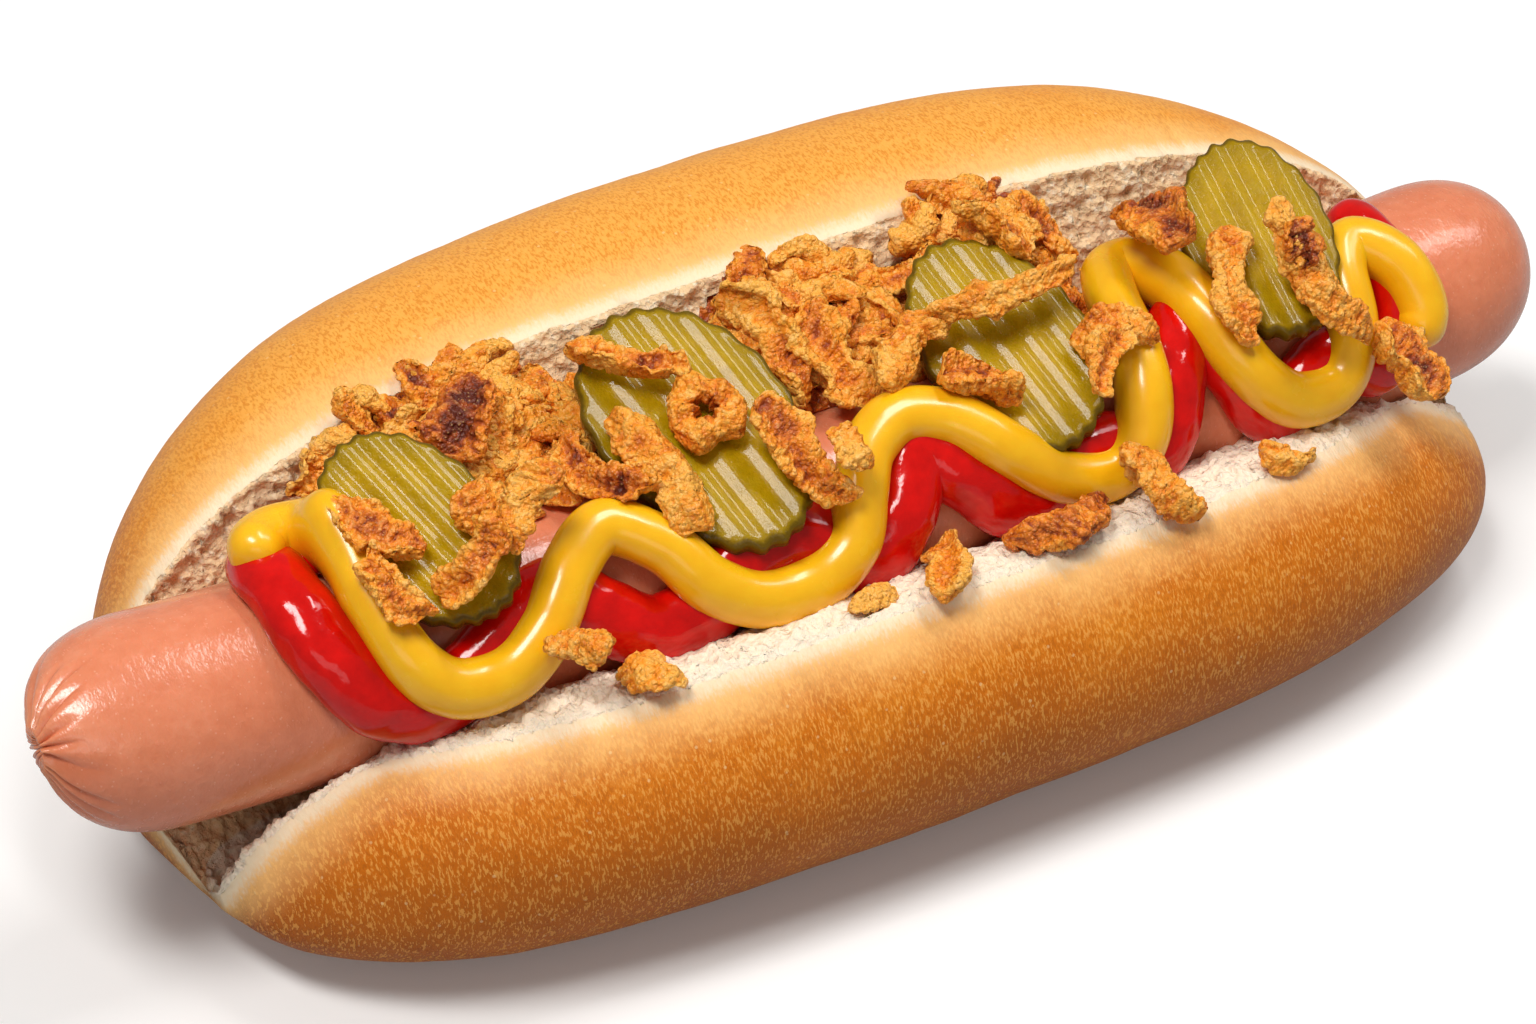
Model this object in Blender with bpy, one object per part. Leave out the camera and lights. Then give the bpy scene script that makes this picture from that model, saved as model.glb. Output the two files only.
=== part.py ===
"""Hot dog: an opened roll, a frankfurter, ketchup, mustard, pickle slices and fried onions.

Frame: +X runs along the sausage, +Y from the low front half of the roll to the tall
back half, +Z up.  The origin is on the table, under the middle of the whole hot dog.
Sizes below are in millimetres and turned into metres as each mesh is made.
"""
import math

import bmesh
import bpy
import numpy as np
from mathutils import Matrix, Vector
from mathutils.bvhtree import BVHTree

MM = 0.001
GAP = 0.35                      # air left between touching pieces
SETTLE_GAP = 0.45               # a little more under pieces that are set down on others

# ---- sausage ----
SAUSAGE_LENGTH = 194.0
SAUSAGE_RADIUS = 12.2
SAUSAGE_END_Y = -3.6            # axis at the two ends
SAUSAGE_END_Z = 32.0
SAUSAGE_BOW_Y = -2.0            # how far the middle moves forward
SAUSAGE_BOW_Z = -3.0            # how far the middle sinks
SAUSAGE_CAP = 15.5              # length of each rounded end
SAUSAGE_SIDES = 28
FOLDS = 14                      # pleats where the casing is tied at the near end
FOLD_DEPTH = 0.34

# ---- roll ----
FRONT_LENGTH = 166.0
BACK_LENGTH = 185.0
ROLL_CENTRE_X = 3.6
BACK_CENTRE = (25.0, 26.0)      # centre of the tall half's round section
BACK_RADIUS = 26.0
FRONT_CENTRE = (-22.5, 18.0)    # centre of the opened half's oval section
FRONT_HALF_WIDTH = 18.5
FRONT_HALF_HEIGHT = 18.0
HINGE = (-11.4, 2.6)            # bottom of the cut, which the halves bend about
KNEE = (-18.2, 28.5)            # where the opened face turns out into a shallow lip
LIP_RUN = 1.71                  # how far the lip runs out for each unit it rises
CHANNEL_ARC = (186.0, 370.0)    # degrees over which the crumb hugs the sausage
RIM_Z = 49.5                    # height of the tall half's rim
# face of the cut on the tall half: (share of the way up to the rim, y)
BACK_FACE = [(0.0, -11.4), (0.22, 2.4), (0.45, 8.2), (0.62, 10.4), (1.0, 15.5), (2.2, 25.0)]
CHANNEL_CLEAR = 0.8             # room round the sausage in its channel
HINGE_TIP_Z = 8.0               # height where the roll's two tips close
TIP_ROUND = (3.2, 2.1)          # powers of the curve that rounds the tips
ROLL_STATIONS = 28

# ---- sauces, laid on the sausage ----
# each route is a list of (x, angle round the sausage from straight up, + to the back)
KETCHUP_ROUTE = [
    (-58.5, 6), (-61.5, 30), (-66.5, 22), (-66.5, -12), (-64.5, -45), (-60.0, -70),
    (-53.0, -72), (-46.0, -56), (-39.5, -42), (-35.0, -56), (-29.0, -73), (-22.0, -68),
    (-15.5, -52), (-8.5, -54), (-2.0, -74), (3.0, -58), (7.5, -33), (12.5, -52),
    (18.0, -73), (25.0, -62), (31.0, -60), (36.5, -70), (40.5, -44), (44.5, -16),
    (48.0, -44), (52.0, -74), (57.5, -64), (62.0, -60), (67.5, -72), (71.5, -50),
    (72.0, -15), (70.0, 12)]
KETCHUP_HALF_WIDTH = (4.6, 3.5)     # at the near end and at the far end
KETCHUP_HALF_HEIGHT = 1.8
KETCHUP_STATIONS = 76
MUSTARD_ROUTE = [
    (-68.0, 6), (-67.0, 19), (-63.6, 26), (-60.6, 17), (-59.3, -4), (-59.3, -27),
    (-57.4, -52), (-53.5, -66), (-47.5, -67), (-42.0, -55), (-37.0, -35), (-31.5, -24),
    (-26.0, -38), (-22.0, -58), (-16.0, -70), (-9.5, -70), (-4.5, -60), (-2.0, -43),
    (1.0, -27), (6.0, -19), (11.5, -26), (17.0, -46), (22.5, -63), (29.0, -69),
    (33.6, -58), (36.2, -30), (37.6, -2), (40.3, 19), (43.6, 20), (45.6, 0), (46.8, -26),
    (49.5, -52), (54.0, -68), (60.0, -68), (63.4, -50), (65.0, -26), (68.0, -16),
    (71.8, -30), (73.0, -52), (70.5, -66)]
MUSTARD_RADIUS = 3.15
MUSTARD_LIFT = 4.4                  # centre of the bead above the sausage's skin
BEAD_SIDES = 7
MUSTARD_STATIONS = 96

# ---- pickle slices: x, y, heading of the long way, length, width, sideways tilt ----
PICKLES = [
    (-51.5, -7.0, -71.0, 25.5, 17.5, 22.0),
    (-16.5, -5.0, -78.0, 32.0, 22.0, 14.0),
    (22.5, -6.5, -80.0, 28.5, 19.5, 14.0),
    (56.5, -6.5, -94.0, 26.0, 17.5, 12.0)]
PICKLE_THICK = 2.9
PICKLE_RIDGES = 6
RIDGE_DEPTH = 0.42
PICKLE_SLOPE = 21.0                 # they lean down from the tall half to the front

# ---- fried onions ----
# heaps: first x, last x, middle y, half width, height of the top above the middle
HEAPS = [
    (-57.0, -22.0, 6.5, 8.5, 47.0),
    (-11.0, 17.0, 6.5, 8.5, 47.5),
    (17.8, 38.0, 7.0, 8.0, 48.0)]
# pieces: x, y, heading, length, width, bend
STRIPS = [
    (-39.6, 5.5, 32, 11.0, 5.6, 0.1),
    (-45.3, -11.7, -80, 9.0, 4.4, 0.2),
    (-42.0, -15.5, 33, 10.0, 4.9, 0.5),
    (-56.2, -7.4, -50, 12.0, 4.0, -0.5),
    (-58.4, -15.3, -59, 10.3, 4.7, 0.3),
    (-49.2, -17.2, -6, 11.4, 4.2, 0.2),
    (-56.9, 9.9, 39, 5.5, 3.0, 0.0),
    (-21.1, 2.2, -40, 14.2, 4.6, -0.3),
    (-24.1, -10.1, -79, 17.3, 4.4, 0.1),
    (-28.4, -6.1, -73, 17.0, 4.0, -0.3),
    (-9.0, -15.4, -55, 14.0, 5.2, 0.2),
    (-4.0, -17.8, -80, 6.4, 4.0, 0.0),
    (-3.5, 3.5, -77, 16.0, 4.9, 0.4),
    (4.6, -0.3, -82, 15.0, 4.6, -0.3),
    (10.4, -6.0, 31, 13.0, 4.2, 0.3),
    (0.6, 9.5, -56, 7.0, 3.2, 0.0),
    (22.6, -5.9, -7, 17.0, 3.9, 0.2),
    (33.2, -12.8, -12, 10.5, 4.2, -0.2),
    (15.7, -12.6, -14, 10.7, 5.2, 0.1),
    (28.8, -18.6, 45, 12.0, 3.8, 0.2),
    (43.8, -2.7, -96, 19.0, 7.0, 0.1),
    (27.8, 5.2, -50, 11.7, 4.2, 0.3),
    (36.0, 8.0, -28, 12.0, 4.0, -0.3),
    (18.4, 8.5, 3, 9.6, 3.6, 0.2),
    (49.1, -12.3, 70, 16.0, 4.4, -0.1),
    (56.0, -15.0, -66, 14.0, 3.6, 0.6),
    (56.1, -15.2, -74, 6.0, 3.4, 0.2),
    (57.9, -21.5, -31, 10.5, 4.2, 0.2),
    (66.2, -24.9, -71, 10.5, 6.2, 0.2),
    (30.8, -27.6, -66, 11.5, 5.6, 0.2),
    (18.8, -26.8, 7, 13.0, 5.6, 0.1),
    (3.7, -26.5, 65, 13.5, 4.0, 0.1),
    (-6.0, -26.5, 18, 6.9, 2.8, 0.0),
    (-41.5, -25.5, -54, 7.2, 4.2, 0.2),
    (-33.3, -26.0, -88, 8.5, 4.2, 0.3),
    (49.0, -27.2, -11, 7.4, 2.8, 0.0)]
RING = (-16.1, -6.5, 3.3, 1.45)     # one onion ring: x, y, radius, thickness
STRIP_FLATNESS = 0.62
STRIP_RINGS = 6
STRIP_SIDES = 5


def sausage_axis(x):
    """Centre line: a shallow parabola that sinks and leans forward in the middle."""
    bow = 1.0 - np.square(np.asarray(x) / (SAUSAGE_LENGTH / 2))
    return SAUSAGE_END_Y + SAUSAGE_BOW_Y * bow, SAUSAGE_END_Z + SAUSAGE_BOW_Z * bow


def smoothstep(low, high, value):
    t = np.clip((value - low) / (high - low), 0.0, 1.0)
    return t * t * (3.0 - 2.0 * t)


def front_wall(z, hinge_z):
    """Face of the cut on the opened half: steep beside the sausage, then a shallow lip."""
    knee_y, knee_z = KNEE
    below = HINGE[0] + (knee_y - HINGE[0]) * np.clip((z - hinge_z) / (knee_z - hinge_z), 0, 1)
    return np.where(z < knee_z, below, knee_y - (z - knee_z) * LIP_RUN)


def back_wall(z, hinge_z):
    """Face of the cut on the tall half: it flares out, then runs up to the rim."""
    levels, across = zip(*BACK_FACE)
    return np.interp((z - hinge_z) / (RIM_Z - hinge_z), levels, across)


def tip_scale(t):
    """How much of the full section is left at t: 1 in the middle, 0 at the tips, t = -1 and 1."""
    return np.power(np.clip(1.0 - np.abs(t) ** TIP_ROUND[0], 0.0, 1.0), 1.0 / TIP_ROUND[1])


def crust_loop(scale):
    """Outer section of both halves, from inside the tall rim round to the front rim.

    A round back, a flat underside and an oval front, shrunk towards the hinge.
    """
    back = np.radians(np.linspace(140.0, -90.0, 140))
    front = np.radians(np.linspace(270.0, 60.0, 120))
    y = np.concatenate([BACK_CENTRE[0] + BACK_RADIUS * np.cos(back),
                        FRONT_CENTRE[0] + FRONT_HALF_WIDTH * np.cos(front)])
    z = np.concatenate([BACK_CENTRE[1] + BACK_RADIUS * np.sin(back),
                        FRONT_CENTRE[1] + FRONT_HALF_HEIGHT * np.sin(front)])
    return HINGE[0] + (y - HINGE[0]) * scale, HINGE_TIP_Z + (z - HINGE_TIP_Z) * scale


def along(points_y, points_z, count):
    """Even spacing of count points by arc length along a polyline."""
    step = np.hypot(np.diff(points_y), np.diff(points_z))
    length = np.concatenate([[0.0], np.cumsum(step)])
    want = np.linspace(0.0, length[-1], count)
    return np.interp(want, length, points_y), np.interp(want, length, points_z)


def roll_section(t, crust_count=20, face_count=6, floor_count=8):
    """One closed section of the roll at t: crust, front face, floor, back face.

    The tall half is longer than the opened one, so x also grows with y.
    """
    scale = tip_scale(t)
    x = ROLL_CENTRE_X + t * FRONT_LENGTH / 2
    hinge_z = HINGE_TIP_Z + (HINGE[1] - HINGE_TIP_Z) * scale
    y, z = crust_loop(scale)
    outside_back = y > back_wall(z, hinge_z)
    outside_front = y < front_wall(z, hinge_z)
    first = int(np.argmax(outside_back))
    last = len(y) - 1 - int(np.argmax(outside_front[::-1]))
    crust = along(y[first:last + 1], z[first:last + 1], crust_count)
    rim_back_z = crust[1][0]
    rim_front_z = crust[1][-1]
    # the open V of the tips
    z_front = np.linspace(rim_front_z, hinge_z, face_count + floor_count // 2)
    z_back = np.linspace(hinge_z, rim_back_z, face_count + floor_count // 2 + 1)
    v_y = np.concatenate([front_wall(z_front, hinge_z), back_wall(z_back, hinge_z)])
    v_z = np.concatenate([z_front, z_back])
    # the channel that holds the sausage
    centre_y, centre_z = sausage_axis(x)
    arc = np.radians(np.linspace(*CHANNEL_ARC, floor_count))
    reach = SAUSAGE_RADIUS + CHANNEL_CLEAR
    arc_y = centre_y + reach * np.cos(arc)
    arc_z = centre_z + reach * np.sin(arc)
    hug_y = np.concatenate([[crust[0][-1]], arc_y, [crust[0][0]]])
    hug_z = np.concatenate([[crust[1][-1]], arc_z, [crust[1][0]]])
    count = len(v_y)
    v_even = along(v_y, v_z, count)
    hug_even = along(hug_y, hug_z, count)
    opened = smoothstep(48.0, 62.0, abs(x - ROLL_CENTRE_X))
    inner_y = v_even[0] * opened + hug_even[0] * (1.0 - opened)
    inner_z = v_even[1] * opened + hug_even[1] * (1.0 - opened)
    y = np.concatenate([crust[0], inner_y[1:-1]])
    z = np.concatenate([crust[1], inner_z[1:-1]])
    length = FRONT_LENGTH + (BACK_LENGTH - FRONT_LENGTH) * smoothstep(-16.0, 16.0, y)
    return np.stack([ROLL_CENTRE_X + t * length / 2, y, z], -1)


def mesh_object(name, points, faces, material, smooth_angle=40.0):
    mesh = bpy.data.meshes.new(name)
    mesh.from_pydata((np.asarray(points) * MM).tolist(), [], faces)
    mesh.update()
    bm = bmesh.new()
    bm.from_mesh(mesh)
    bmesh.ops.recalc_face_normals(bm, faces=bm.faces)
    if bm.calc_volume(signed=True) < 0.0:
        bmesh.ops.reverse_faces(bm, faces=bm.faces)
    bm.to_mesh(mesh)
    bm.free()
    mesh.shade_smooth()
    mesh.set_sharp_from_angle(angle=math.radians(smooth_angle))
    mesh.materials.append(material)
    body = bpy.data.objects.new(name, mesh)
    bpy.context.scene.collection.objects.link(body)
    return body


def loft(rings):
    """Faces between closed rings of equal count, with a fan to a pole at each end.

    rings is (stations, points, 3); the poles are the middles of the first and last ring.
    """
    stations, count = rings.shape[:2]
    points = np.concatenate([rings.reshape(-1, 3), rings[0].mean(0)[None], rings[-1].mean(0)[None]])
    faces = []
    for i in range(stations - 1):
        for j in range(count):
            k = (j + 1) % count
            faces.append((i * count + j, i * count + k, (i + 1) * count + k, (i + 1) * count + j))
    start = stations * count
    for j in range(count):
        k = (j + 1) % count
        faces.append((start, k, j))
        faces.append((start + 1, (stations - 1) * count + j, (stations - 1) * count + k))
    return points, faces


def material(name, colour, roughness):
    made = bpy.data.materials.new(name)
    made.use_nodes = True
    shader = made.node_tree.nodes["Principled BSDF"]
    shader.inputs["Base Color"].default_value = (*colour, 1.0)
    shader.inputs["Roughness"].default_value = roughness
    shader.inputs["Metallic"].default_value = 0.0
    return made


def make_roll():
    t = np.sin(np.linspace(-math.pi / 2, math.pi / 2, ROLL_STATIONS + 2)[1:-1])
    points, faces = loft(np.array([roll_section(station) for station in t]))
    return mesh_object("roll", points, faces, material("roll_crust", (0.75, 0.33, 0.06), 0.5))


def sausage_radius(x):
    """Full radius in the middle, closing at each end on a blunt oval."""
    from_end = SAUSAGE_LENGTH / 2 - np.abs(x)
    t = np.clip(1.0 - from_end / SAUSAGE_CAP, 0.0, 1.0)
    return SAUSAGE_RADIUS * np.sqrt(np.clip(1.0 - t ** 2.5, 0.0, 1.0))


def make_sausage():
    """Rings along the bowed axis; the near end is drawn in by pleats round a small pit."""
    half = SAUSAGE_LENGTH / 2
    cap = np.sin(np.linspace(0.0, math.pi / 2, 8))[1:-1]
    near = -half + SAUSAGE_CAP * (1.0 - cap[::-1])
    far = half - SAUSAGE_CAP * (1.0 - cap)
    body = np.linspace(-half + SAUSAGE_CAP, half - SAUSAGE_CAP, 13)
    xs = np.concatenate([near, body, far])
    angle = np.linspace(0.0, 2 * math.pi, SAUSAGE_SIDES, endpoint=False)
    rings = []
    for x in xs:
        radius = sausage_radius(x)
        pleat = FOLD_DEPTH * smoothstep(-half + 11.0, -half + 2.0, x) * np.cos(FOLDS * angle)
        reach = radius + pleat
        cy, cz = sausage_axis(x)
        rings.append(np.stack([np.full_like(angle, x), cy + reach * np.cos(angle),
                               cz + reach * np.sin(angle)], -1))
    rings = np.array(rings)
    points, faces = loft(rings)
    ends_y, ends_z = sausage_axis(np.array([-half + 0.6, half]))
    points[-2] = (-half + 0.6, ends_y[0], ends_z[0])
    points[-1] = (half, ends_y[1], ends_z[1])
    return mesh_object("sausage", points, faces, material("sausage_skin", (0.80, 0.30, 0.17), 0.35))


def smooth_route(route, count):
    """count points, evenly spaced, on a smooth curve through the route's own points.

    Each span is a cubic whose end slopes come from the knots on either side of it.
    """
    knots = np.array(route, dtype=float)
    knots = np.concatenate([[2 * knots[0] - knots[1]], knots, [2 * knots[-1] - knots[-2]]])
    dense = []
    for i in range(1, len(knots) - 2):
        p0, p1, p2, p3 = knots[i - 1:i + 3]
        for u in np.linspace(0.0, 1.0, 12, endpoint=False):
            dense.append(0.5 * (2 * p1 + (p2 - p0) * u + (2 * p0 - 5 * p1 + 4 * p2 - p3) * u ** 2
                                + (3 * p1 - p0 - 3 * p2 + p3) * u ** 3))
    dense.append(knots[-2])
    dense = np.array(dense)
    length = np.concatenate([[0.0], np.cumsum(np.hypot(*np.diff(dense, axis=0).T))])
    want = np.linspace(0.0, length[-1], count)
    return np.stack([np.interp(want, length, dense[:, k]) for k in (0, 1)], -1)


def round_sausage(x, arc, radius, bead_radius):
    """Point at distance arc round a cylinder of bead_radius about the sausage's axis."""
    centre_y, centre_z = sausage_axis(x)
    angle = arc / bead_radius
    return np.stack([x, centre_y + radius * np.sin(angle), centre_z + radius * np.cos(angle)], -1)


def bead_rings(route, middle, half_width, half_height, count, sides):
    """Oval rings carried along a route on the sausage, closing at both ends.

    Worked out unrolled: each ring crosses the route at a right angle, and a tight bend
    narrows its inner side so that the bead never folds through itself.
    """
    unrolled = np.array(route, dtype=float)
    unrolled[:, 1] *= math.radians(1.0) * middle
    line = smooth_route(unrolled, count)
    slope = np.gradient(line, axis=0)
    step = np.hypot(slope[:, 0], slope[:, 1])
    slope /= step[:, None]
    turn = np.gradient(slope, axis=0) / step[:, None]
    across = np.stack([-slope[:, 1], slope[:, 0]], -1)
    bend = (turn * across).sum(-1)
    along_line = np.linspace(0.0, 1.0, count)
    width = half_width[0] + (half_width[1] - half_width[0]) * along_line
    from_end = np.minimum(along_line, 1.0 - along_line) * count
    close = np.sqrt(np.clip(1.0 - (1.0 - np.clip((from_end + 0.35) / 3.0, 0, 1)) ** 2, 0, 1))
    rings = []
    for i in range(count):
        theta = np.linspace(0.0, 2 * math.pi, sides, endpoint=False)
        side = width[i] * close[i] * np.cos(theta)
        limit = 0.86 / max(abs(bend[i]), 1e-6)
        inner = side * np.sign(bend[i]) > 0
        side = np.where(inner, np.clip(side, -limit, limit), side)
        x = line[i, 0] + across[i, 0] * side
        arc = line[i, 1] + across[i, 1] * side
        rings.append(round_sausage(x, arc, middle + half_height * close[i] * np.sin(theta), middle))
    return np.array(rings)


def ketchup_rings():
    middle = SAUSAGE_RADIUS + GAP + KETCHUP_HALF_HEIGHT
    return bead_rings(KETCHUP_ROUTE, middle, KETCHUP_HALF_WIDTH, KETCHUP_HALF_HEIGHT,
                      KETCHUP_STATIONS, BEAD_SIDES)


def mustard_rings(extra=0.0):
    radius = MUSTARD_RADIUS + extra
    return bead_rings(MUSTARD_ROUTE, SAUSAGE_RADIUS + MUSTARD_LIFT, (radius, radius), radius,
                      MUSTARD_STATIONS, BEAD_SIDES)


def clear_outward(rings, tree, gap):
    """Push ring points straight out from the sausage's axis until they clear the tree."""
    shape = rings.shape
    moved = rings.reshape(-1, 3).copy()
    for point in moved:
        centre_y, centre_z = sausage_axis(point[0])
        away = Vector((0.0, point[1] - centre_y, point[2] - centre_z))
        reach = away.length
        away.normalize()
        side = Vector((0.0, away.z, -away.y))
        top = 0.0
        for dx in (-0.8, 0.0, 0.8):
            for ds in (-0.8, 0.0, 0.8):
                start = Vector((point[0] + dx, centre_y, centre_z)) + away * 40.0 + side * ds
                hit = tree.ray_cast(start, -away)[0]
                if hit is not None:
                    top = max(top, 40.0 - (start - hit).length)
        out = max(reach, top + gap)
        point[1] = centre_y + away.y * out
        point[2] = centre_z + away.z * out
    return moved.reshape(shape)


def make_cutter(name, rings):
    """A hidden, slightly larger copy that keeps neighbours a gap away."""
    points, faces = loft(rings)
    cutter = mesh_object(name, points, faces, material(name, (0.5, 0.5, 0.5), 0.5))
    cutter.hide_render = True
    cutter.display_type = "WIRE"
    return cutter


def cut_by(body, cutter):
    trim = body.modifiers.new("clear_of_" + cutter.name, "BOOLEAN")
    trim.operation = "DIFFERENCE"
    trim.solver = "EXACT"
    trim.object = cutter


def tree_of(bodies):
    """One search tree, in millimetres, over the triangles of several meshes."""
    points = []
    faces = []
    for body in bodies:
        start = len(points)
        points += [vertex.co / MM for vertex in body.data.vertices]
        faces += [tuple(start + k for k in face.vertices) for face in body.data.polygons]
    return BVHTree.FromPolygons(points, faces)


def height_at(tree, x, y, fallback=None):
    """Height of the highest surface under the point, looking down."""
    hit = tree.ray_cast(Vector((x, y, 120.0)), Vector((0.0, 0.0, -1.0)))[0]
    return fallback if hit is None else hit.z


def set_down(points, faces, tree, gap=SETTLE_GAP):
    """Shift points straight up or down until they clear what is below by the gap."""
    probe = [Vector(point) for point in points]
    own = BVHTree.FromPolygons(probe, faces)
    lift = -1e9
    samples = list(probe)
    for face in faces:
        corners = [probe[k] for k in face]
        middle = sum(corners, Vector()) / len(corners)
        samples.append(middle)
        for corner, following in zip(corners, corners[1:] + corners[:1]):
            samples.append((corner + following) / 2)
            samples.append((corner + middle) / 2)
    for point in samples:
        under = own.ray_cast(Vector((point.x, point.y, -200.0)), Vector((0.0, 0.0, 1.0)))[0]
        low = point.z if under is None else under.z
        top = height_at(tree, point.x, point.y)
        if top is not None:
            lift = max(lift, top - low)
    return np.asarray(points) + np.array([0.0, 0.0, lift + gap])


def turned(points, heading, pitch, roll):
    """Turn about the long way by roll, tip the long way by pitch, then swing to heading."""
    cr, sr = math.cos(math.radians(roll)), math.sin(math.radians(roll))
    cp, sp = math.cos(math.radians(pitch)), math.sin(math.radians(pitch))
    ch, sh = math.cos(math.radians(heading)), math.sin(math.radians(heading))
    about_x = np.array([[1, 0, 0], [0, cr, -sr], [0, sr, cr]])
    about_y = np.array([[cp, 0, sp], [0, 1, 0], [-sp, 0, cp]])
    about_z = np.array([[ch, -sh, 0], [sh, ch, 0], [0, 0, 1]])
    return np.asarray(points) @ (about_z @ about_y @ about_x).T


def pickle_shape(length, width):
    """Oval slice, long way on x, with crinkle ridges running along it on both faces."""
    cuts = PICKLE_RIDGES * 3 + 1
    u = np.sin(np.linspace(-1.0, 1.0, cuts) * math.radians(82.0)) / math.sin(math.radians(82.0))
    u = 0.5 * u + 0.5 * np.linspace(-1.0, 1.0, cuts)
    half = np.sqrt(np.clip(1.0 - u ** 2 * 0.965, 0.0, 1.0)) * length / 2
    wave = RIDGE_DEPTH * np.cos(u * PICKLE_RIDGES * math.pi)
    rows = []
    for along_row in (-1.0, -0.45, 0.45, 1.0):
        thin = PICKLE_THICK / 2 * (1.0 if abs(along_row) < 1.0 else 0.72)
        rows.append(np.stack([half * along_row, u * width / 2, wave + thin], -1))
    for along_row in (1.0, 0.45, -0.45, -1.0):
        thin = PICKLE_THICK / 2 * (1.0 if abs(along_row) < 1.0 else 0.72)
        rows.append(np.stack([half * along_row, u * width / 2, wave - thin], -1))
    return np.array(rows).transpose(1, 0, 2)


def make_pickle(name, place, tree):
    x, y, heading, length, width, tilt = place
    points, faces = loft(pickle_shape(length, width))
    points = turned(points, heading, PICKLE_SLOPE, tilt) + np.array([x, y, 60.0])
    points = set_down(points, faces, tree)
    return mesh_object(name, points, faces, material(name, (0.45, 0.30, 0.03), 0.25))


def make_heap(name, place, tree, seed):
    """A mound of onions: underside a gap above what it lies on, lumpy top.

    The grid runs along x and across y; the lumps are waves of three sizes.
    """
    first, last, middle, half, top = place
    rng = np.random.default_rng(seed)
    shift = rng.uniform(0, 2 * math.pi, 4)
    nx, ny = 12, 7
    upper = np.zeros((nx, ny, 3))
    lower = np.zeros((nx, ny, 3))
    for i in range(nx):
        for j in range(ny):
            u = i / (nx - 1) * 2 - 1
            v = j / (ny - 1) * 2 - 1
            narrow = math.sqrt(max(0.0, 1 - abs(u) ** 3)) * 0.8 + 0.2
            x = first + (last - first) * (u + 1) / 2
            y = middle + v * half * narrow
            floor = max(height_at(tree, x + dx, y + dy, 0.0)
                        for dx in (-0.9, 0.0, 0.9) for dy in (-0.9, 0.0, 0.9)) + 0.55
            dome = (1 - abs(u) ** 2.6) * (1 - abs(v) ** 2.4)
            lump = (1.3 * math.sin(x * 0.55 + shift[0]) * math.cos(y * 0.5 + shift[1])
                    + 0.9 * math.sin(x * 1.15 + y * 0.8 + shift[2]))
            roof = top + 0.36 * (y - middle) + (dome - 1) * 5.0 + lump * dome
            upper[i, j] = (x, y, max(roof, floor + 0.6))
            lower[i, j] = (x, y, floor)
    rings = np.concatenate([upper, lower[:, ::-1]], axis=1)
    points, faces = loft(rings)
    return mesh_object(name, points, faces, material(name, (0.55, 0.22, 0.05), 0.7))


def strip_shape(length, width, bend, seed):
    """A lumpy, flattened, bent strip along x with blunt ends."""
    rng = np.random.default_rng(seed)
    u = np.linspace(-1.0, 1.0, STRIP_RINGS)
    theta = np.linspace(0.0, 2 * math.pi, STRIP_SIDES, endpoint=False) + 0.3
    blunt = np.power(np.clip(1.0 - np.abs(u) ** 3.5 * 0.72, 0.0, 1.0), 0.5)
    rings = []
    for i in range(STRIP_RINGS):
        lumps = 1.0 + rng.uniform(-0.16, 0.16, STRIP_SIDES)
        across = width / 2 * blunt[i] * lumps * np.cos(theta)
        up = width / 2 * STRIP_FLATNESS * blunt[i] * lumps * np.sin(theta)
        sway = bend * length * (0.25 - u[i] ** 2 * 0.25)
        rings.append(np.stack([np.full(STRIP_SIDES, u[i] * length / 2), across + sway, up], -1))
    return np.array(rings)


def make_strip(name, place, tree, seed):
    """An onion strip tipped to follow the height below its two ends, then set down."""
    x, y, heading, length, width, bend = place
    points, faces = loft(strip_shape(length, width, bend, seed))
    reach = length * 0.36
    ch, sh = math.cos(math.radians(heading)), math.sin(math.radians(heading))
    ahead = height_at(tree, x + reach * ch, y + reach * sh, 30.0)
    behind = height_at(tree, x - reach * ch, y - reach * sh, 30.0)
    pitch = -math.degrees(math.atan2(ahead - behind, 2 * reach))
    pitch = max(-48.0, min(48.0, pitch))
    left = height_at(tree, x - width * 0.3 * sh, y + width * 0.3 * ch, 30.0)
    right = height_at(tree, x + width * 0.3 * sh, y - width * 0.3 * ch, 30.0)
    roll = max(-35.0, min(35.0, math.degrees(math.atan2(left - right, 0.6 * width))))
    points = turned(points, heading, pitch, roll) + np.array([x, y, 60.0])
    points = set_down(points, faces, tree)
    return mesh_object(name, points, faces, material(name, (0.62, 0.25, 0.06), 0.7))


def make_ring(name, place, tree):
    """A small fried onion ring: a lumpy tube bent into a circle."""
    x, y, radius, thick = place
    around = 12
    sides = 6
    points = []
    for i in range(around):
        turn = i / around * 2 * math.pi
        wobble = 1.0 + 0.12 * math.sin(3 * turn + 0.7)
        for j in range(sides):
            theta = j / sides * 2 * math.pi
            reach = radius * wobble + thick * math.cos(theta)
            points.append((reach * math.cos(turn), reach * math.sin(turn), thick * math.sin(theta)))
    faces = []
    for i in range(around):
        for j in range(sides):
            k = (i + 1) % around
            m = (j + 1) % sides
            faces.append((i * sides + j, k * sides + j, k * sides + m, i * sides + m))
    points = turned(points, -78.0, PICKLE_SLOPE, 14.0) + np.array([x, y, 60.0])
    points = set_down(points, faces, tree)
    return mesh_object(name, points, faces, material(name, (0.55, 0.20, 0.05), 0.7))


def clear_scene():
    for body in list(bpy.data.objects):
        bpy.data.objects.remove(body, do_unlink=True)


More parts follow.
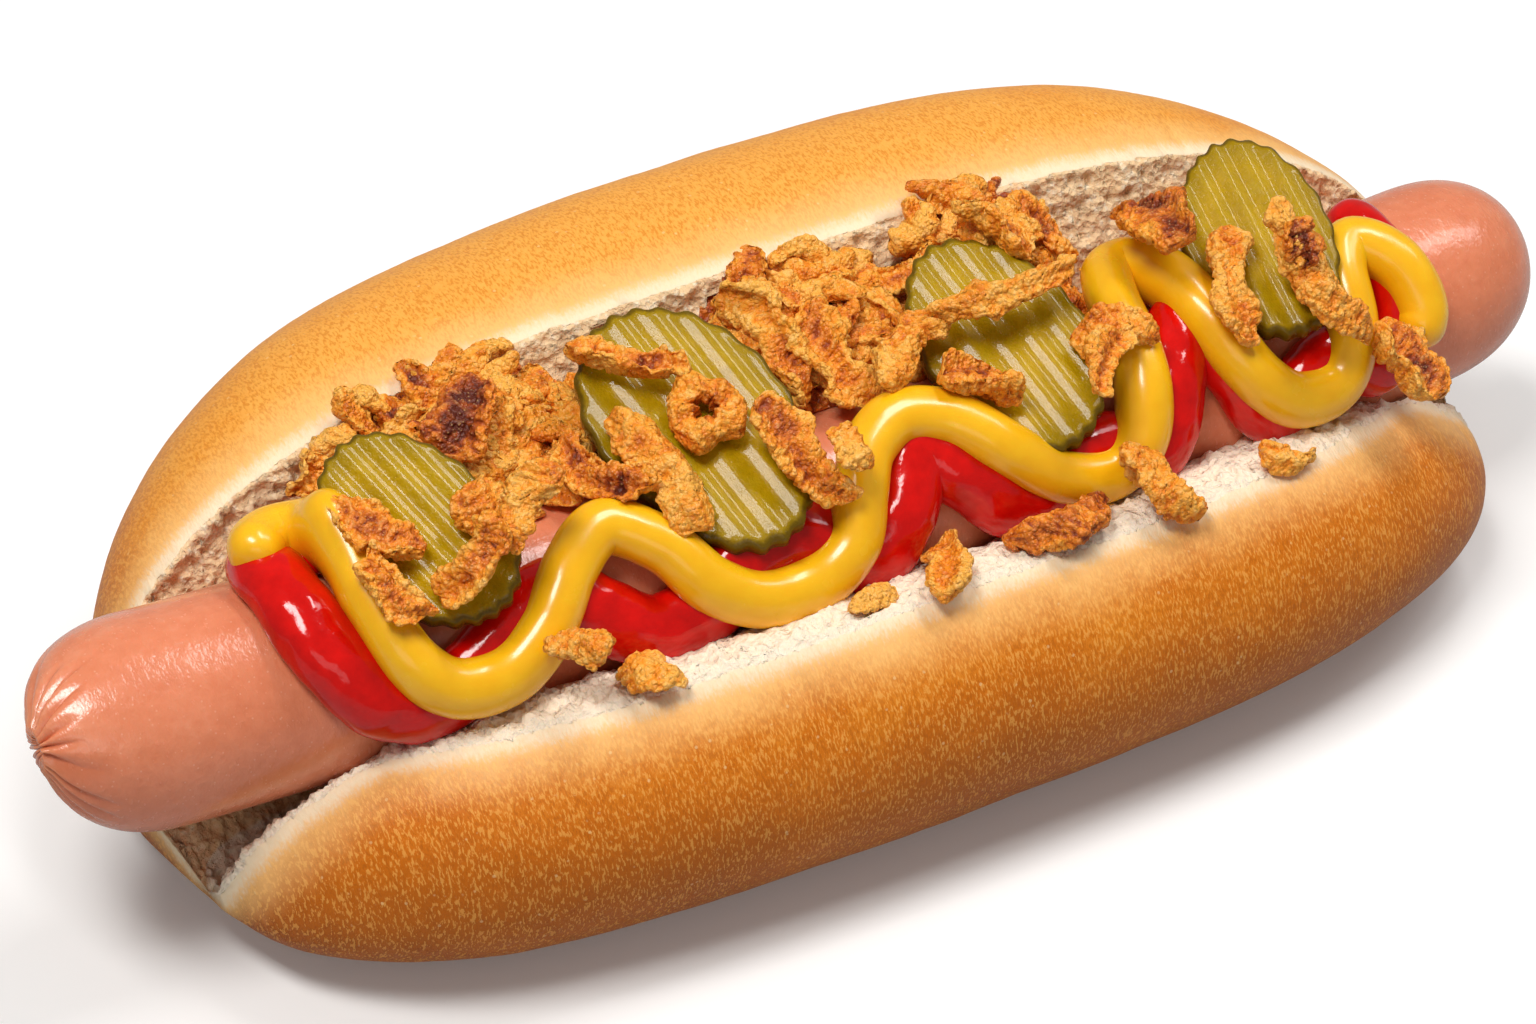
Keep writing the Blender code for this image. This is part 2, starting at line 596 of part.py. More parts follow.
def stand_on_origin():
    """Move every mesh so that the origin is under the middle of the whole hot dog."""
    shown = [body for body in bpy.data.objects if not body.hide_render]
    corners = np.concatenate([[vertex.co[:] for vertex in body.data.vertices] for body in shown])
    low = corners.min(0)
    high = corners.max(0)
    shift = Matrix.Translation((-(low[0] + high[0]) / 2, -(low[1] + high[1]) / 2, -low[2]))
    for body in bpy.data.objects:
        body.data.transform(shift)


def main():
    clear_scene()
    roll = make_roll()
    sausage = make_sausage()
    points, faces = loft(ketchup_rings())
    ketchup = mesh_object("ketchup", points, faces, material("ketchup", (0.55, 0.005, 0.003), 0.12))
    points, faces = loft(clear_outward(mustard_rings(), tree_of([ketchup]), GAP))
    mustard = mesh_object("mustard", points, faces, material("mustard", (0.86, 0.45, 0.01), 0.2))
    mustard_gap = make_cutter("mustard_gap", mustard_rings(GAP))
    placed = [roll, sausage, ketchup]
    for index, place in enumerate(HEAPS):
        placed.append(make_heap(f"onion_heap_{index + 1}", place, tree_of(placed[:3]), 40 + index))
    base = tree_of(placed)
    for index, place in enumerate(PICKLES):
        pickle = make_pickle(f"pickle_{index + 1}", place, base)
        cut_by(pickle, mustard_gap)
        placed.append(pickle)
    placed.append(mustard)
    placed.append(make_ring("onion_ring", RING, tree_of(placed)))
    for index, place in enumerate(STRIPS):
        placed.append(make_strip(f"onion_{index + 1:02d}", place, tree_of(placed), 100 + index))
    stand_on_origin()


main()
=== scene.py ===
import math

import bpy
import numpy as np
from mathutils import Matrix, Vector
from mathutils.bvhtree import BVHTree


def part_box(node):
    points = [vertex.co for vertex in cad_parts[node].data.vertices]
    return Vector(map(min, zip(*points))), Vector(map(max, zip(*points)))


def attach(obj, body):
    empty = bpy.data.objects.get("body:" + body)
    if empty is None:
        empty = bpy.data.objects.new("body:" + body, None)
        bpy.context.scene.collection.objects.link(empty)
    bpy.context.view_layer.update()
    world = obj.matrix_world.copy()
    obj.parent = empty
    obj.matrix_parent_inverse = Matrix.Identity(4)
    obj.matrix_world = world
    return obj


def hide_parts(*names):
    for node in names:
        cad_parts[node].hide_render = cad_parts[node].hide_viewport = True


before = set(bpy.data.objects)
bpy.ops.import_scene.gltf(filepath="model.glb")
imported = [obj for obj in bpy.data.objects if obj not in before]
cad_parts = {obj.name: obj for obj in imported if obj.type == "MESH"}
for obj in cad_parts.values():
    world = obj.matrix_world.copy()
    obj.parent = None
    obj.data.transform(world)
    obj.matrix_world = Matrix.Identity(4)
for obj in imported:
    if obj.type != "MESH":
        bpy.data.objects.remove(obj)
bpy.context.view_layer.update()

# Lengths are in millimetres, in the roll's own layout; Shell.build moves them into the frame.
MM = 0.001

SAUSAGE_LENGTH = 194.0
SAUSAGE_RADIUS = 12.2
SAUSAGE_END = (-3.6, 32.0)
SAUSAGE_BOW = (-2.0, -3.0)
SAUSAGE_CAP = 15.5
KNOT_SHIFT = (-6.0, 6.0)        # the gathered end's knot lies off the middle

FRONT_LENGTH = 166.0
BACK_LENGTH = 185.0
ROLL_CENTRE_X = 3.6
BACK_CENTRE = (25.0, 26.0)
BACK_RADIUS = 26.0
FRONT_CENTRE = (-22.5, 18.0)
FRONT_HALF = (18.5, 18.0)
HINGE = (-11.4, 2.6)
KNEE = (-18.2, 28.5)
LIP_RUN = 1.71
CHANNEL_ARC = (186.0, 370.0)
RIM_Z = 49.5
BACK_FACE = [(0.0, -11.4), (0.22, 2.4), (0.45, 8.2), (0.62, 10.4), (1.0, 15.5), (2.2, 25.0)]
CHANNEL_CLEAR = 0.8
HINGE_TIP_Z = 8.0
TIP_ROUND = (3.2, 2.1)

KETCHUP_ROUTE = [
    (-58.5, 6), (-61.5, 30), (-66.5, 22), (-66.5, -12), (-64.5, -45), (-60.0, -70),
    (-53.0, -72), (-46.0, -56), (-39.5, -42), (-35.0, -56), (-29.0, -73), (-22.0, -68),
    (-15.5, -52), (-8.5, -54), (-2.0, -74), (3.0, -58), (7.5, -33), (12.5, -52),
    (18.0, -73), (25.0, -62), (31.0, -60), (36.5, -70), (40.5, -44), (44.5, -16),
    (48.0, -44), (52.0, -74), (57.5, -64), (62.0, -60), (67.5, -72), (71.5, -50),
    (72.0, -15), (70.0, 12)]
MUSTARD_ROUTE = [
    (-68.0, 6), (-67.0, 19), (-63.6, 26), (-60.6, 17), (-59.3, -4), (-59.3, -27),
    (-57.4, -52), (-53.5, -66), (-47.5, -67), (-42.0, -55), (-37.0, -35), (-31.5, -24),
    (-26.0, -38), (-22.0, -58), (-16.0, -70), (-9.5, -70), (-4.5, -60), (-2.0, -43),
    (1.0, -27), (6.0, -19), (11.5, -26), (17.0, -46), (22.5, -63), (29.0, -69),
    (33.6, -58), (36.2, -30), (37.6, -2), (40.3, 19), (43.6, 20), (45.6, 0), (46.8, -26),
    (49.5, -52), (54.0, -68), (60.0, -68), (63.4, -50), (65.0, -26), (68.0, -16),
    (71.8, -30), (73.0, -52), (70.5, -66)]
MUSTARD_RADIUS = 3.15
MUSTARD_LIFT = 4.4
KETCHUP_HALF_WIDTH = (4.6, 3.5)
KETCHUP_HALF_HEIGHT = 1.8

# x, y, heading of the long way, length, width, sideways tilt
PICKLES = [
    (-51.5, -7.0, -71.0, 25.5, 17.5, 22.0),
    (-16.5, -5.0, -78.0, 32.0, 22.0, 14.0),
    (22.5, -6.5, -80.0, 28.5, 19.5, 14.0),
    (56.5, -6.5, -94.0, 26.0, 17.5, 12.0)]
PICKLE_THICK = 2.9
PICKLE_RIDGES = 6
RIDGE_DEPTH = 0.42
PICKLE_SLOPE = 21.0

LAYOUT_SHIFT = np.array([
    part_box("sausage")[1][0] / MM - SAUSAGE_LENGTH / 2,
    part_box("roll")[1][1] / MM - (BACK_CENTRE[0] + BACK_RADIUS),
    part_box("roll")[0][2] / MM])


# ---------------------------------------------------------------- noise

def lattice(i, j, k, seed):
    """A repeatable value from 0 to 1 for each whole-numbered corner of a lattice."""
    n = (i * 374761393 + j * 668265263 + k * 1440662683 + seed * 1274126177) & 0xFFFFFFFF
    n = ((n ^ (n >> 13)) * 1274126177) & 0xFFFFFFFF
    n = ((n ^ (n >> 15)) * 2246822519) & 0xFFFFFFFF
    return ((n ^ (n >> 16)) & 0xFFFFF) / 0xFFFFF


def smooth_noise(points, size, seed):
    """Lattice values blended with smoothed weights between the 8 corners: -1 to 1."""
    p = np.asarray(points) / size
    base = np.floor(p).astype(np.int64)
    f = p - base
    f = f * f * (3.0 - 2.0 * f)
    total = 0.0
    for corner in range(8):
        dx, dy, dz = corner & 1, corner >> 1 & 1, corner >> 2 & 1
        weight = (np.where(dx, f[..., 0], 1 - f[..., 0]) * np.where(dy, f[..., 1], 1 - f[..., 1])
                  * np.where(dz, f[..., 2], 1 - f[..., 2]))
        total = total + weight * lattice(base[..., 0] + dx, base[..., 1] + dy,
                                         base[..., 2] + dz, seed)
    return total * 2.0 - 1.0


def rough_noise(points, size, seed, octaves=3):
    """Smooth noise added to halved copies of itself."""
    total = 0.0
    for octave in range(octaves):
        total = total + smooth_noise(points, size / 2 ** octave, seed + octave) / 2 ** octave
    return total / 1.6


def cell_distance(points, size, seed):
    """Distance, in cell sizes, to the nearest of the points strewn one to a cell."""
    p = np.asarray(points) / size
    base = np.floor(p).astype(np.int64)
    nearest = np.full(p.shape[:-1], 9.0)
    for corner in range(27):
        di, dj, dk = corner % 3 - 1, corner // 3 % 3 - 1, corner // 9 - 1
        i, j, k = base[..., 0] + di, base[..., 1] + dj, base[..., 2] + dk
        seedling = np.stack([i + lattice(i, j, k, seed), j + lattice(i, j, k, seed + 1),
                             k + lattice(i, j, k, seed + 2)], -1)
        nearest = np.minimum(nearest, np.square(seedling - p).sum(-1))
    return np.sqrt(nearest)


def smoothstep(low, high, value):
    t = np.clip((value - low) / (high - low), 0.0, 1.0)
    return t * t * (3.0 - 2.0 * t)


# ---------------------------------------------------------------- meshes

def grid_faces(rows, columns, start=0):
    """Quads of a grid whose rows are closed rings, with a fan to a pole at each end."""
    i, j = np.meshgrid(np.arange(rows - 1), np.arange(columns), indexing="ij")
    k = (j + 1) % columns
    quads = np.stack([i * columns + j, i * columns + k, (i + 1) * columns + k,
                      (i + 1) * columns + j], -1).reshape(-1, 4) + start
    j = np.arange(columns)
    k = (j + 1) % columns
    pole = rows * columns + start
    first = np.stack([np.full(columns, pole), k + start, j + start], -1)
    last_row = (rows - 1) * columns + start
    last = np.stack([np.full(columns, pole + 1), last_row + j, last_row + k], -1)
    return quads, np.concatenate([first, last])


def ring_normals(rings):
    """Unit normals of a ring grid, pointing away from each ring's middle."""
    along = np.gradient(rings, axis=0)
    around = np.roll(rings, -1, axis=1) - np.roll(rings, 1, axis=1)
    normal = np.cross(along, around)
    normal /= np.maximum(np.linalg.norm(normal, axis=-1, keepdims=True), 1e-9)
    away = rings - rings.mean(axis=1, keepdims=True)
    if (normal * away).sum() < 0:
        normal = -normal
    return normal


class Shell:
    """Collects ring grids and builds them into one mesh with per-point values."""

    def __init__(self):
        self.points = []
        self.quads = []
        self.fans = []
        self.values = {}
        self.count = 0

    def add(self, rings, **values):
        rows, columns = rings.shape[:2]
        quads, fans = grid_faces(rows, columns, self.count)
        poles = np.stack([rings[0].mean(0), rings[-1].mean(0)])
        whole = np.concatenate([rings.reshape(-1, 3), poles])
        volume = self.signed_volume(whole, quads - self.count, fans - self.count)
        if volume < 0:
            quads = quads[:, ::-1]
            fans = fans[:, ::-1]
        self.points.append(whole)
        self.quads.append(quads)
        self.fans.append(fans)
        for name, value in values.items():
            value = np.broadcast_to(value, (rows, columns))
            ends = np.array([value[0].mean(), value[-1].mean()])
            self.values.setdefault(name, []).append(np.concatenate([value.ravel(), ends]))
        self.count += len(whole)

    @staticmethod
    def signed_volume(points, quads, fans):
        triangles = np.concatenate([quads[:, [0, 1, 2]], quads[:, [0, 2, 3]], fans])
        a, b, c = (points[triangles[:, k]] for k in range(3))
        return (a * np.cross(b, c)).sum()

    def build(self, name, paint):
        """One object at the origin, shaded smooth, in the frame's own metres."""
        points = (np.concatenate(self.points) + LAYOUT_SHIFT) * MM
        quads = np.concatenate(self.quads)
        fans = np.concatenate(self.fans)
        mesh = bpy.data.meshes.new(name)
        mesh.vertices.add(len(points))
        mesh.vertices.foreach_set("co", points.ravel())
        loops = np.concatenate([quads.ravel(), fans.ravel()]).astype(np.int32)
        starts = np.concatenate([np.arange(len(quads)) * 4,
                                 len(quads) * 4 + np.arange(len(fans)) * 3]).astype(np.int32)
        mesh.loops.add(len(loops))
        mesh.loops.foreach_set("vertex_index", loops)
        mesh.polygons.add(len(starts))
        mesh.polygons.foreach_set("loop_start", starts)
        mesh.update(calc_edges=True)
        mesh.validate()
        for key, value in self.values.items():
            layer = mesh.attributes.new(key, "FLOAT", "POINT")
            layer.data.foreach_set("value", np.concatenate(value).astype(np.float32))
        mesh.shade_smooth()
        mesh.materials.append(paint)
        piece = bpy.data.objects.new(name, mesh)
        bpy.context.scene.collection.objects.link(piece)
        return piece


def stand_for(piece, slot, *nodes):
    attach(piece, "root")
    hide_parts(*nodes)


# ---------------------------------------------------------------- shapes

def sausage_axis(x):
    """Centre line: a shallow parabola that sinks and leans forward in the middle."""
    bow = 1.0 - np.square(np.asarray(x) / (SAUSAGE_LENGTH / 2))
    return SAUSAGE_END[0] + SAUSAGE_BOW[0] * bow, SAUSAGE_END[1] + SAUSAGE_BOW[1] * bow


def front_wall(z, hinge_z):
    """Face of the cut on the opened half: steep beside the sausage, then a shallow lip."""
    below = HINGE[0] + (KNEE[0] - HINGE[0]) * np.clip((z - hinge_z) / (KNEE[1] - hinge_z), 0, 1)
    return np.where(z < KNEE[1], below, KNEE[0] - (z - KNEE[1]) * LIP_RUN)


def back_wall(z, hinge_z):
    """Face of the cut on the tall half: it flares out, then runs up to the rim."""
    levels, across = zip(*BACK_FACE)
    return np.interp((z - hinge_z) / (RIM_Z - hinge_z), levels, across)


def tip_scale(t):
    """How much of the full section is left at t: 1 in the middle, 0 at the tips."""
    return np.power(np.clip(1.0 - np.abs(t) ** TIP_ROUND[0], 0.0, 1.0), 1.0 / TIP_ROUND[1])


def crust_loop(scale):
    """Outer section of both halves: a round back, a flat underside and an oval front."""
    back = np.radians(np.linspace(140.0, -90.0, 260))
    front = np.radians(np.linspace(270.0, 60.0, 220))
    y = np.concatenate([BACK_CENTRE[0] + BACK_RADIUS * np.cos(back),
                        FRONT_CENTRE[0] + FRONT_HALF[0] * np.cos(front)])
    z = np.concatenate([BACK_CENTRE[1] + BACK_RADIUS * np.sin(back),
                        FRONT_CENTRE[1] + FRONT_HALF[1] * np.sin(front)])
    return HINGE[0] + (y - HINGE[0]) * scale, HINGE_TIP_Z + (z - HINGE_TIP_Z) * scale


def along(y, z, count):
    """Even spacing of count points by arc length along a polyline, and its length."""
    step = np.hypot(np.diff(y), np.diff(z))
    length = np.concatenate([[0.0], np.cumsum(step)])
    want = np.linspace(0.0, length[-1], count)
    return np.interp(want, length, y), np.interp(want, length, z), want


ROLL_STATIONS = 400
CRUST_COUNT = 108
FACE_COUNT = 128
LIP_BAND = 0.9          # width of crumb that shows outside the front rim
LIP_BULGE = 1.3         # how far the torn crumb swells towards the sausage


def roll_section(t):
    """Points, distance from the rim and crumb share of one closed section at t.

    The crust runs from the tall rim under the roll to the front rim; the cut runs back
    down the opened face, along the floor and up the tall face.
    """
    scale = tip_scale(t)
    x = ROLL_CENTRE_X + t * FRONT_LENGTH / 2
    hinge_z = HINGE_TIP_Z + (HINGE[1] - HINGE_TIP_Z) * scale
    y, z = crust_loop(scale)
    first = int(np.argmax(y > back_wall(z, hinge_z)))
    last = len(y) - 1 - int(np.argmax((y < front_wall(z, hinge_z))[::-1]))
    crust_y, crust_z, run = along(y[first:last + 1], z[first:last + 1], CRUST_COUNT)
    z_front = np.linspace(crust_z[-1], hinge_z, 60)
    z_back = np.linspace(hinge_z, crust_z[0], 60)
    v_y = np.concatenate([front_wall(z_front, hinge_z), back_wall(z_back, hinge_z)])
    v_y, v_z, v_run = along(v_y, np.concatenate([z_front, z_back]), FACE_COUNT + 2)
    centre_y, centre_z = sausage_axis(x)
    arc = np.radians(np.linspace(*CHANNEL_ARC, 48))
    reach = SAUSAGE_RADIUS + CHANNEL_CLEAR
    hug_y = np.concatenate([[crust_y[-1]], centre_y + reach * np.cos(arc), [crust_y[0]]])
    hug_z = np.concatenate([[crust_z[-1]], centre_z + reach * np.sin(arc), [crust_z[0]]])
    hug_y, hug_z, hug_run = along(hug_y, hug_z, FACE_COUNT + 2)
    opened = smoothstep(48.0, 62.0, abs(x - ROLL_CENTRE_X))
    inner_y = v_y * opened + hug_y * (1.0 - opened)
    inner_z = v_z * opened + hug_z * (1.0 - opened)
    inner_run = v_run * opened + hug_run * (1.0 - opened)
    y = np.concatenate([crust_y, inner_y[1:-1]])
    z = np.concatenate([crust_z, inner_z[1:-1]])
    length = FRONT_LENGTH + (BACK_LENGTH - FRONT_LENGTH) * smoothstep(-16.0, 16.0, y)
    from_rim = np.concatenate([np.minimum(run, run[-1] - run),
                               np.minimum(inner_run, inner_run[-1] - inner_run)[1:-1]])
    crumb = np.concatenate([np.zeros(CRUST_COUNT), np.ones(FACE_COUNT)])
    front = np.concatenate([(run > run[-1] / 2), (inner_run < inner_run[-1] / 2)[1:-1]])
    points = np.stack([ROLL_CENTRE_X + t * length / 2, y, z], -1)
    return points, from_rim, crumb, front.astype(float)


# short furrows in the crust: x, 1 for the front half, depth, width, length, slant
CREASES = [(-20.0, 1, 0.55, 0.9, 11.0, 0.45), (45.0, 1, 0.35, 0.8, 7.0, 0.3),
           (71.0, 1, 0.45, 0.8, 7.0, 0.3), (79.0, 1, 0.40, 0.8, 6.0, 0.2),
           (15.0, 0, 0.50, 0.8, 8.0, 0.2), (-9.0, 0, 0.40, 0.8, 7.0, 0.3),
           (-38.0, 0, 0.40, 0.8, 7.0, 0.5), (28.0, 0, 0.35, 0.8, 5.0, 0.2),
           (60.0, 0, 0.35, 0.8, 6.0, 0.2)]


def roll_shell():
    """The roll's whole skin, moved along its normals.

    Crust: low swells, faint wrinkles and short furrows.  Crumb: torn clumps, round pores
    and a ragged rim that stands a little proud of the crust.
    """
    stations = np.sin(np.linspace(-math.pi / 2, math.pi / 2, ROLL_STATIONS + 2)[1:-1])
    stations = 0.55 * stations + 0.45 * np.linspace(-0.9975, 0.9975, ROLL_STATIONS)
    parts = [roll_section(t) for t in stations]
    rings = np.array([part[0] for part in parts])
    from_rim = np.array([part[1] for part in parts])
    crumb = np.array([part[2] for part in parts])
    front = np.array([part[3] for part in parts])
    normal = ring_normals(rings)
    swell = 0.45 * smooth_noise(rings, 26.0, 3) + 0.16 * smooth_noise(rings, 9.0, 4)
    wrinkle = 0.05 * rough_noise(rings, 2.2, 5, 2)
    furrow = 0.0
    for x, side, depth, width, reach, slant in CREASES:
        line = (rings[..., 0] - x - slant * from_rim) / width
        line = line + 0.5 * smooth_noise(rings, 3.0, 8)
        fade = np.exp(-np.square(from_rim / reach)) * (front == side)
        furrow = furrow + depth * fade * (np.exp(-line * line) - 0.45 * np.exp(-np.square(line - 1.7)))
    crust_move = (swell + wrinkle - furrow) * smoothstep(0.0, 3.0, from_rim) - 0.25
    clump = rough_noise(rings, 2.6, 11, 3)
    pore = 1.0 - smoothstep(0.10, 0.55, cell_distance(rings, 2.1, 21))
    fine_pore = 1.0 - smoothstep(0.15, 0.5, cell_distance(rings, 0.95, 31))
    ragged = np.abs(smooth_noise(rings, 1.0, 41))
    lip = np.exp(-np.square(from_rim / 1.8))
    crumb_move = (0.60 * clump - 0.70 * pore - 0.45 * fine_pore + 0.75 * ragged
                  + 0.45 * lip * (0.4 + ragged))
    bulge = front * smoothstep(0.0, 4.0, from_rim) * smoothstep(15.0, 8.5, from_rim)
    crumb_move = crumb_move + LIP_BULGE * bulge * crumb
    band = front * smoothstep(LIP_BAND + 0.5, LIP_BAND - 0.7, from_rim + 1.1 * clump)
    band = band * (1.0 - crumb)
    crust_move = crust_move * (1.0 - band) + (0.40 * clump - 0.4 * fine_pore + 0.7 * ragged) * band
    move = np.where(crumb > 0.5, crumb_move, crust_move)
    tips = smoothstep(0.0, 0.25, tip_scale(stations))[:, None]
    rings = rings + normal * (move * tips)[..., None]
    rings[..., 2] = np.maximum(rings[..., 2], 0.02)
    edge = np.where(crumb > 0.5, 0.0, np.maximum(from_rim - LIP_BAND * front, 0.0))
    shell = Shell()
    # depth (the crumb's distance from the rim) feeds the painted shade down the cut; front, besides shaping the
    # lip, feeds the painted light on the front half's crumb.
    shell.add(rings, crumb=np.maximum(crumb, band), edge=edge, depth=from_rim * crumb, front=front)
    return shell


def sausage_radius(x):
    from_end = SAUSAGE_LENGTH / 2 - np.abs(x)
    t = np.clip(1.0 - from_end / SAUSAGE_CAP, 0.0, 1.0)
    return SAUSAGE_RADIUS * np.sqrt(np.clip(1.0 - t ** 2.5, 0.0, 1.0))


def sausage_shell():
    """Rings along the bowed axis.  At the tied near end the skin is gathered in pleats.

    Each pleat is a rounded ridge between two sharp grooves that run out from a small
    pit; how far a groove runs differs from groove to groove.
    """
    half = SAUSAGE_LENGTH / 2
    cap = np.sin(np.linspace(0.0, math.pi / 2, 96, endpoint=False))[1:] ** 0.9
    near = -half + SAUSAGE_CAP * (1.0 - cap[::-1])
    far_cap = np.sin(np.linspace(0.0, math.pi / 2, 44, endpoint=False))[1:]
    far = half - SAUSAGE_CAP * (1.0 - far_cap)
    xs = np.concatenate([near, np.linspace(-half + SAUSAGE_CAP, half - SAUSAGE_CAP, 120), far])
    angle = np.linspace(0.0, 2 * math.pi, 320, endpoint=False)
    x, a = np.meshgrid(xs, angle, indexing="ij")
    radius = sausage_radius(x)
    centre_y, centre_z = sausage_axis(x)
    circle = np.stack([np.zeros_like(a), np.cos(a), np.sin(a)], -1)
    warped = a + 0.10 * np.sin(3 * a + 1.0) + 0.05 * np.sin(7 * a + 2.0)
    groove = 1.0 - np.abs(np.sin(warped * 20 / 2)) ** 0.85
    reach = 10.5 + 4.2 * smooth_noise(circle * 2.6, 1.0, 77)
    out = np.hypot(radius, x + half) - 1.2
    fade = np.clip(1.0 - np.abs(out) / reach, 0.0, 1.0) ** 0.8
    depth = 1.7 * groove * fade * smoothstep(0.3, 3.0, radius)
    pucker = 0.35 * smoothstep(4.2, 2.2, radius) * smoothstep(0.7, 1.8, radius)
    near_end = x < 0
    shrink = np.where(near_end, depth, 0.0)
    radius = radius - shrink
    x = x + np.where(near_end, 0.45 * depth - pucker, 0.0)
    pit = np.where(near_end, 0.9 * smoothstep(1.9, 0.2, radius), 0.0)
    x = np.maximum(x + pit, -half)
    aside = np.where(near_end, np.clip(1.0 - radius / SAUSAGE_RADIUS, 0.0, 1.0), 0.0)
    centre_y = centre_y + KNOT_SHIFT[0] * aside
    centre_z = centre_z + KNOT_SHIFT[1] * aside
    rings = np.stack([x, centre_y + radius * np.cos(a), centre_z + radius * np.sin(a)], -1)
    swell = 0.16 * smooth_noise(rings, 17.0, 51) + 0.05 * smooth_noise(rings, 5.0, 52)
    rings = rings + ring_normals(rings) * (swell * smoothstep(0.5, 5.0, radius))[..., None]
    shell = Shell()
    # pleat is the groove share at the tied end, which the finish paints darker as shade.
    shell.add(rings, pleat=np.where(near_end, groove * fade, 0.0))
    return shell


def smooth_route(route, count):
    """count points, evenly spaced, on a smooth cubic through the route's own points."""
    knots = np.array(route, dtype=float)
    knots = np.concatenate([[2 * knots[0] - knots[1]], knots, [2 * knots[-1] - knots[-2]]])
    u = np.linspace(0.0, 1.0, 24, endpoint=False)[:, None]
    dense = []
    for i in range(1, len(knots) - 2):
        p0, p1, p2, p3 = knots[i - 1:i + 3]
        dense.append(0.5 * (2 * p1 + (p2 - p0) * u + (2 * p0 - 5 * p1 + 4 * p2 - p3) * u ** 2
                            + (3 * p1 - p0 - 3 * p2 + p3) * u ** 3))
    dense = np.concatenate(dense + [knots[-2:-1]])
    length = np.concatenate([[0.0], np.cumsum(np.hypot(*np.diff(dense, axis=0).T))])
    want = np.linspace(0.0, length[-1], count)
    return np.stack([np.interp(want, length, dense[:, k]) for k in (0, 1)], -1)


def blur(values, width):
    """Running average along a line with a bell-shaped weight, width in samples."""
    reach = int(width * 3)
    weight = np.exp(-np.square(np.arange(-reach, reach + 1) / width))
    padded = np.pad(values, reach, mode="edge")
    return np.convolve(padded, weight / weight.sum(), mode="valid")


def bead(route, middle, half_width, top, bottom, stations, sides, lift=None, wave=0.0, seed=0):
    """A squeezed bead of sauce carried along a route on the sausage.

    Unrolled, each ring crosses the route at a right angle.  Its section is half an oval
    of height top above the middle and half an oval of depth bottom below it.
    """
    unrolled = np.array(route, dtype=float)
    unrolled[:, 1] *= math.radians(1.0) * middle
    line = smooth_route(unrolled, stations)
    slope = np.gradient(line, axis=0)
    step = np.hypot(slope[:, 0], slope[:, 1])
    slope /= step[:, None]
    turn = np.gradient(slope, axis=0) / step[:, None]
    across = np.stack([-slope[:, 1], slope[:, 0]], -1)
    bend = blur((turn * across).sum(-1), 3.0)
    share = np.linspace(0.0, 1.0, stations)
    run = np.cumsum(step)
    from_end = np.minimum(run - run[0], run[-1] - run)
    width = half_width[0] + (half_width[1] - half_width[0]) * share
    wobble = 1.0 + 0.07 * smooth_noise(np.stack([run, run * 0, run * 0], -1), 9.0, seed)
    width = width * wobble
    close = np.sqrt(np.clip(1.0 - np.square(1.0 - np.clip(from_end / width, 0, 1)), 0.002, 1))
    theta = np.linspace(0.0, 2 * math.pi, sides, endpoint=False)
    side = (width * close)[:, None] * np.cos(theta)[None]
    limit = (0.9 / np.maximum(np.abs(bend), 1e-6))[:, None]
    inner = side * bend[:, None] > 0
    side = np.where(inner, np.clip(side, -limit, limit), side)
    x = line[:, :1] + across[:, :1] * side
    arc = line[:, 1:] + across[:, 1:] * side
    height = np.where(np.sin(theta) > 0, top, bottom)[None] * np.sin(theta)[None] * close[:, None]
    raised = 0.0 if lift is None else lift[:, None] * (0.5 + 0.5 * np.sin(theta))[None]
    radius = middle + height * wobble[:, None] + raised
    centre_y, centre_z = sausage_axis(x)
    turn_angle = arc / middle
    rings = np.stack([x, centre_y + radius * np.sin(turn_angle),
                      centre_z + radius * np.cos(turn_angle)], -1)
    ripple = wave * smooth_noise(rings, 3.4, seed + 5) + 0.4 * wave * smooth_noise(rings, 1.6, seed + 6)
    rings = rings + ring_normals(rings) * ripple[..., None]
    return rings


def ketchup_shell():
    rings = bead(KETCHUP_ROUTE, SAUSAGE_RADIUS + 1.4, KETCHUP_HALF_WIDTH, 3.7, 1.9,
                 560, 48, wave=0.22, seed=60)
    shell = Shell()
    shell.add(rings)
    return shell


def turned(points, heading, pitch, roll):
    """Turn about the long way by roll, tip the long way by pitch, then swing to heading."""
    cr, sr = math.cos(math.radians(roll)), math.sin(math.radians(roll))
    cp, sp = math.cos(math.radians(pitch)), math.sin(math.radians(pitch))
    ch, sh = math.cos(math.radians(heading)), math.sin(math.radians(heading))
    about_x = np.array([[1, 0, 0], [0, cr, -sr], [0, sr, cr]])
    about_y = np.array([[cp, 0, sp], [0, 1, 0], [-sp, 0, cp]])
    about_z = np.array([[ch, -sh, 0], [sh, ch, 0], [0, 0, 1]])
    return np.asarray(points) @ (about_z @ about_y @ about_x).T


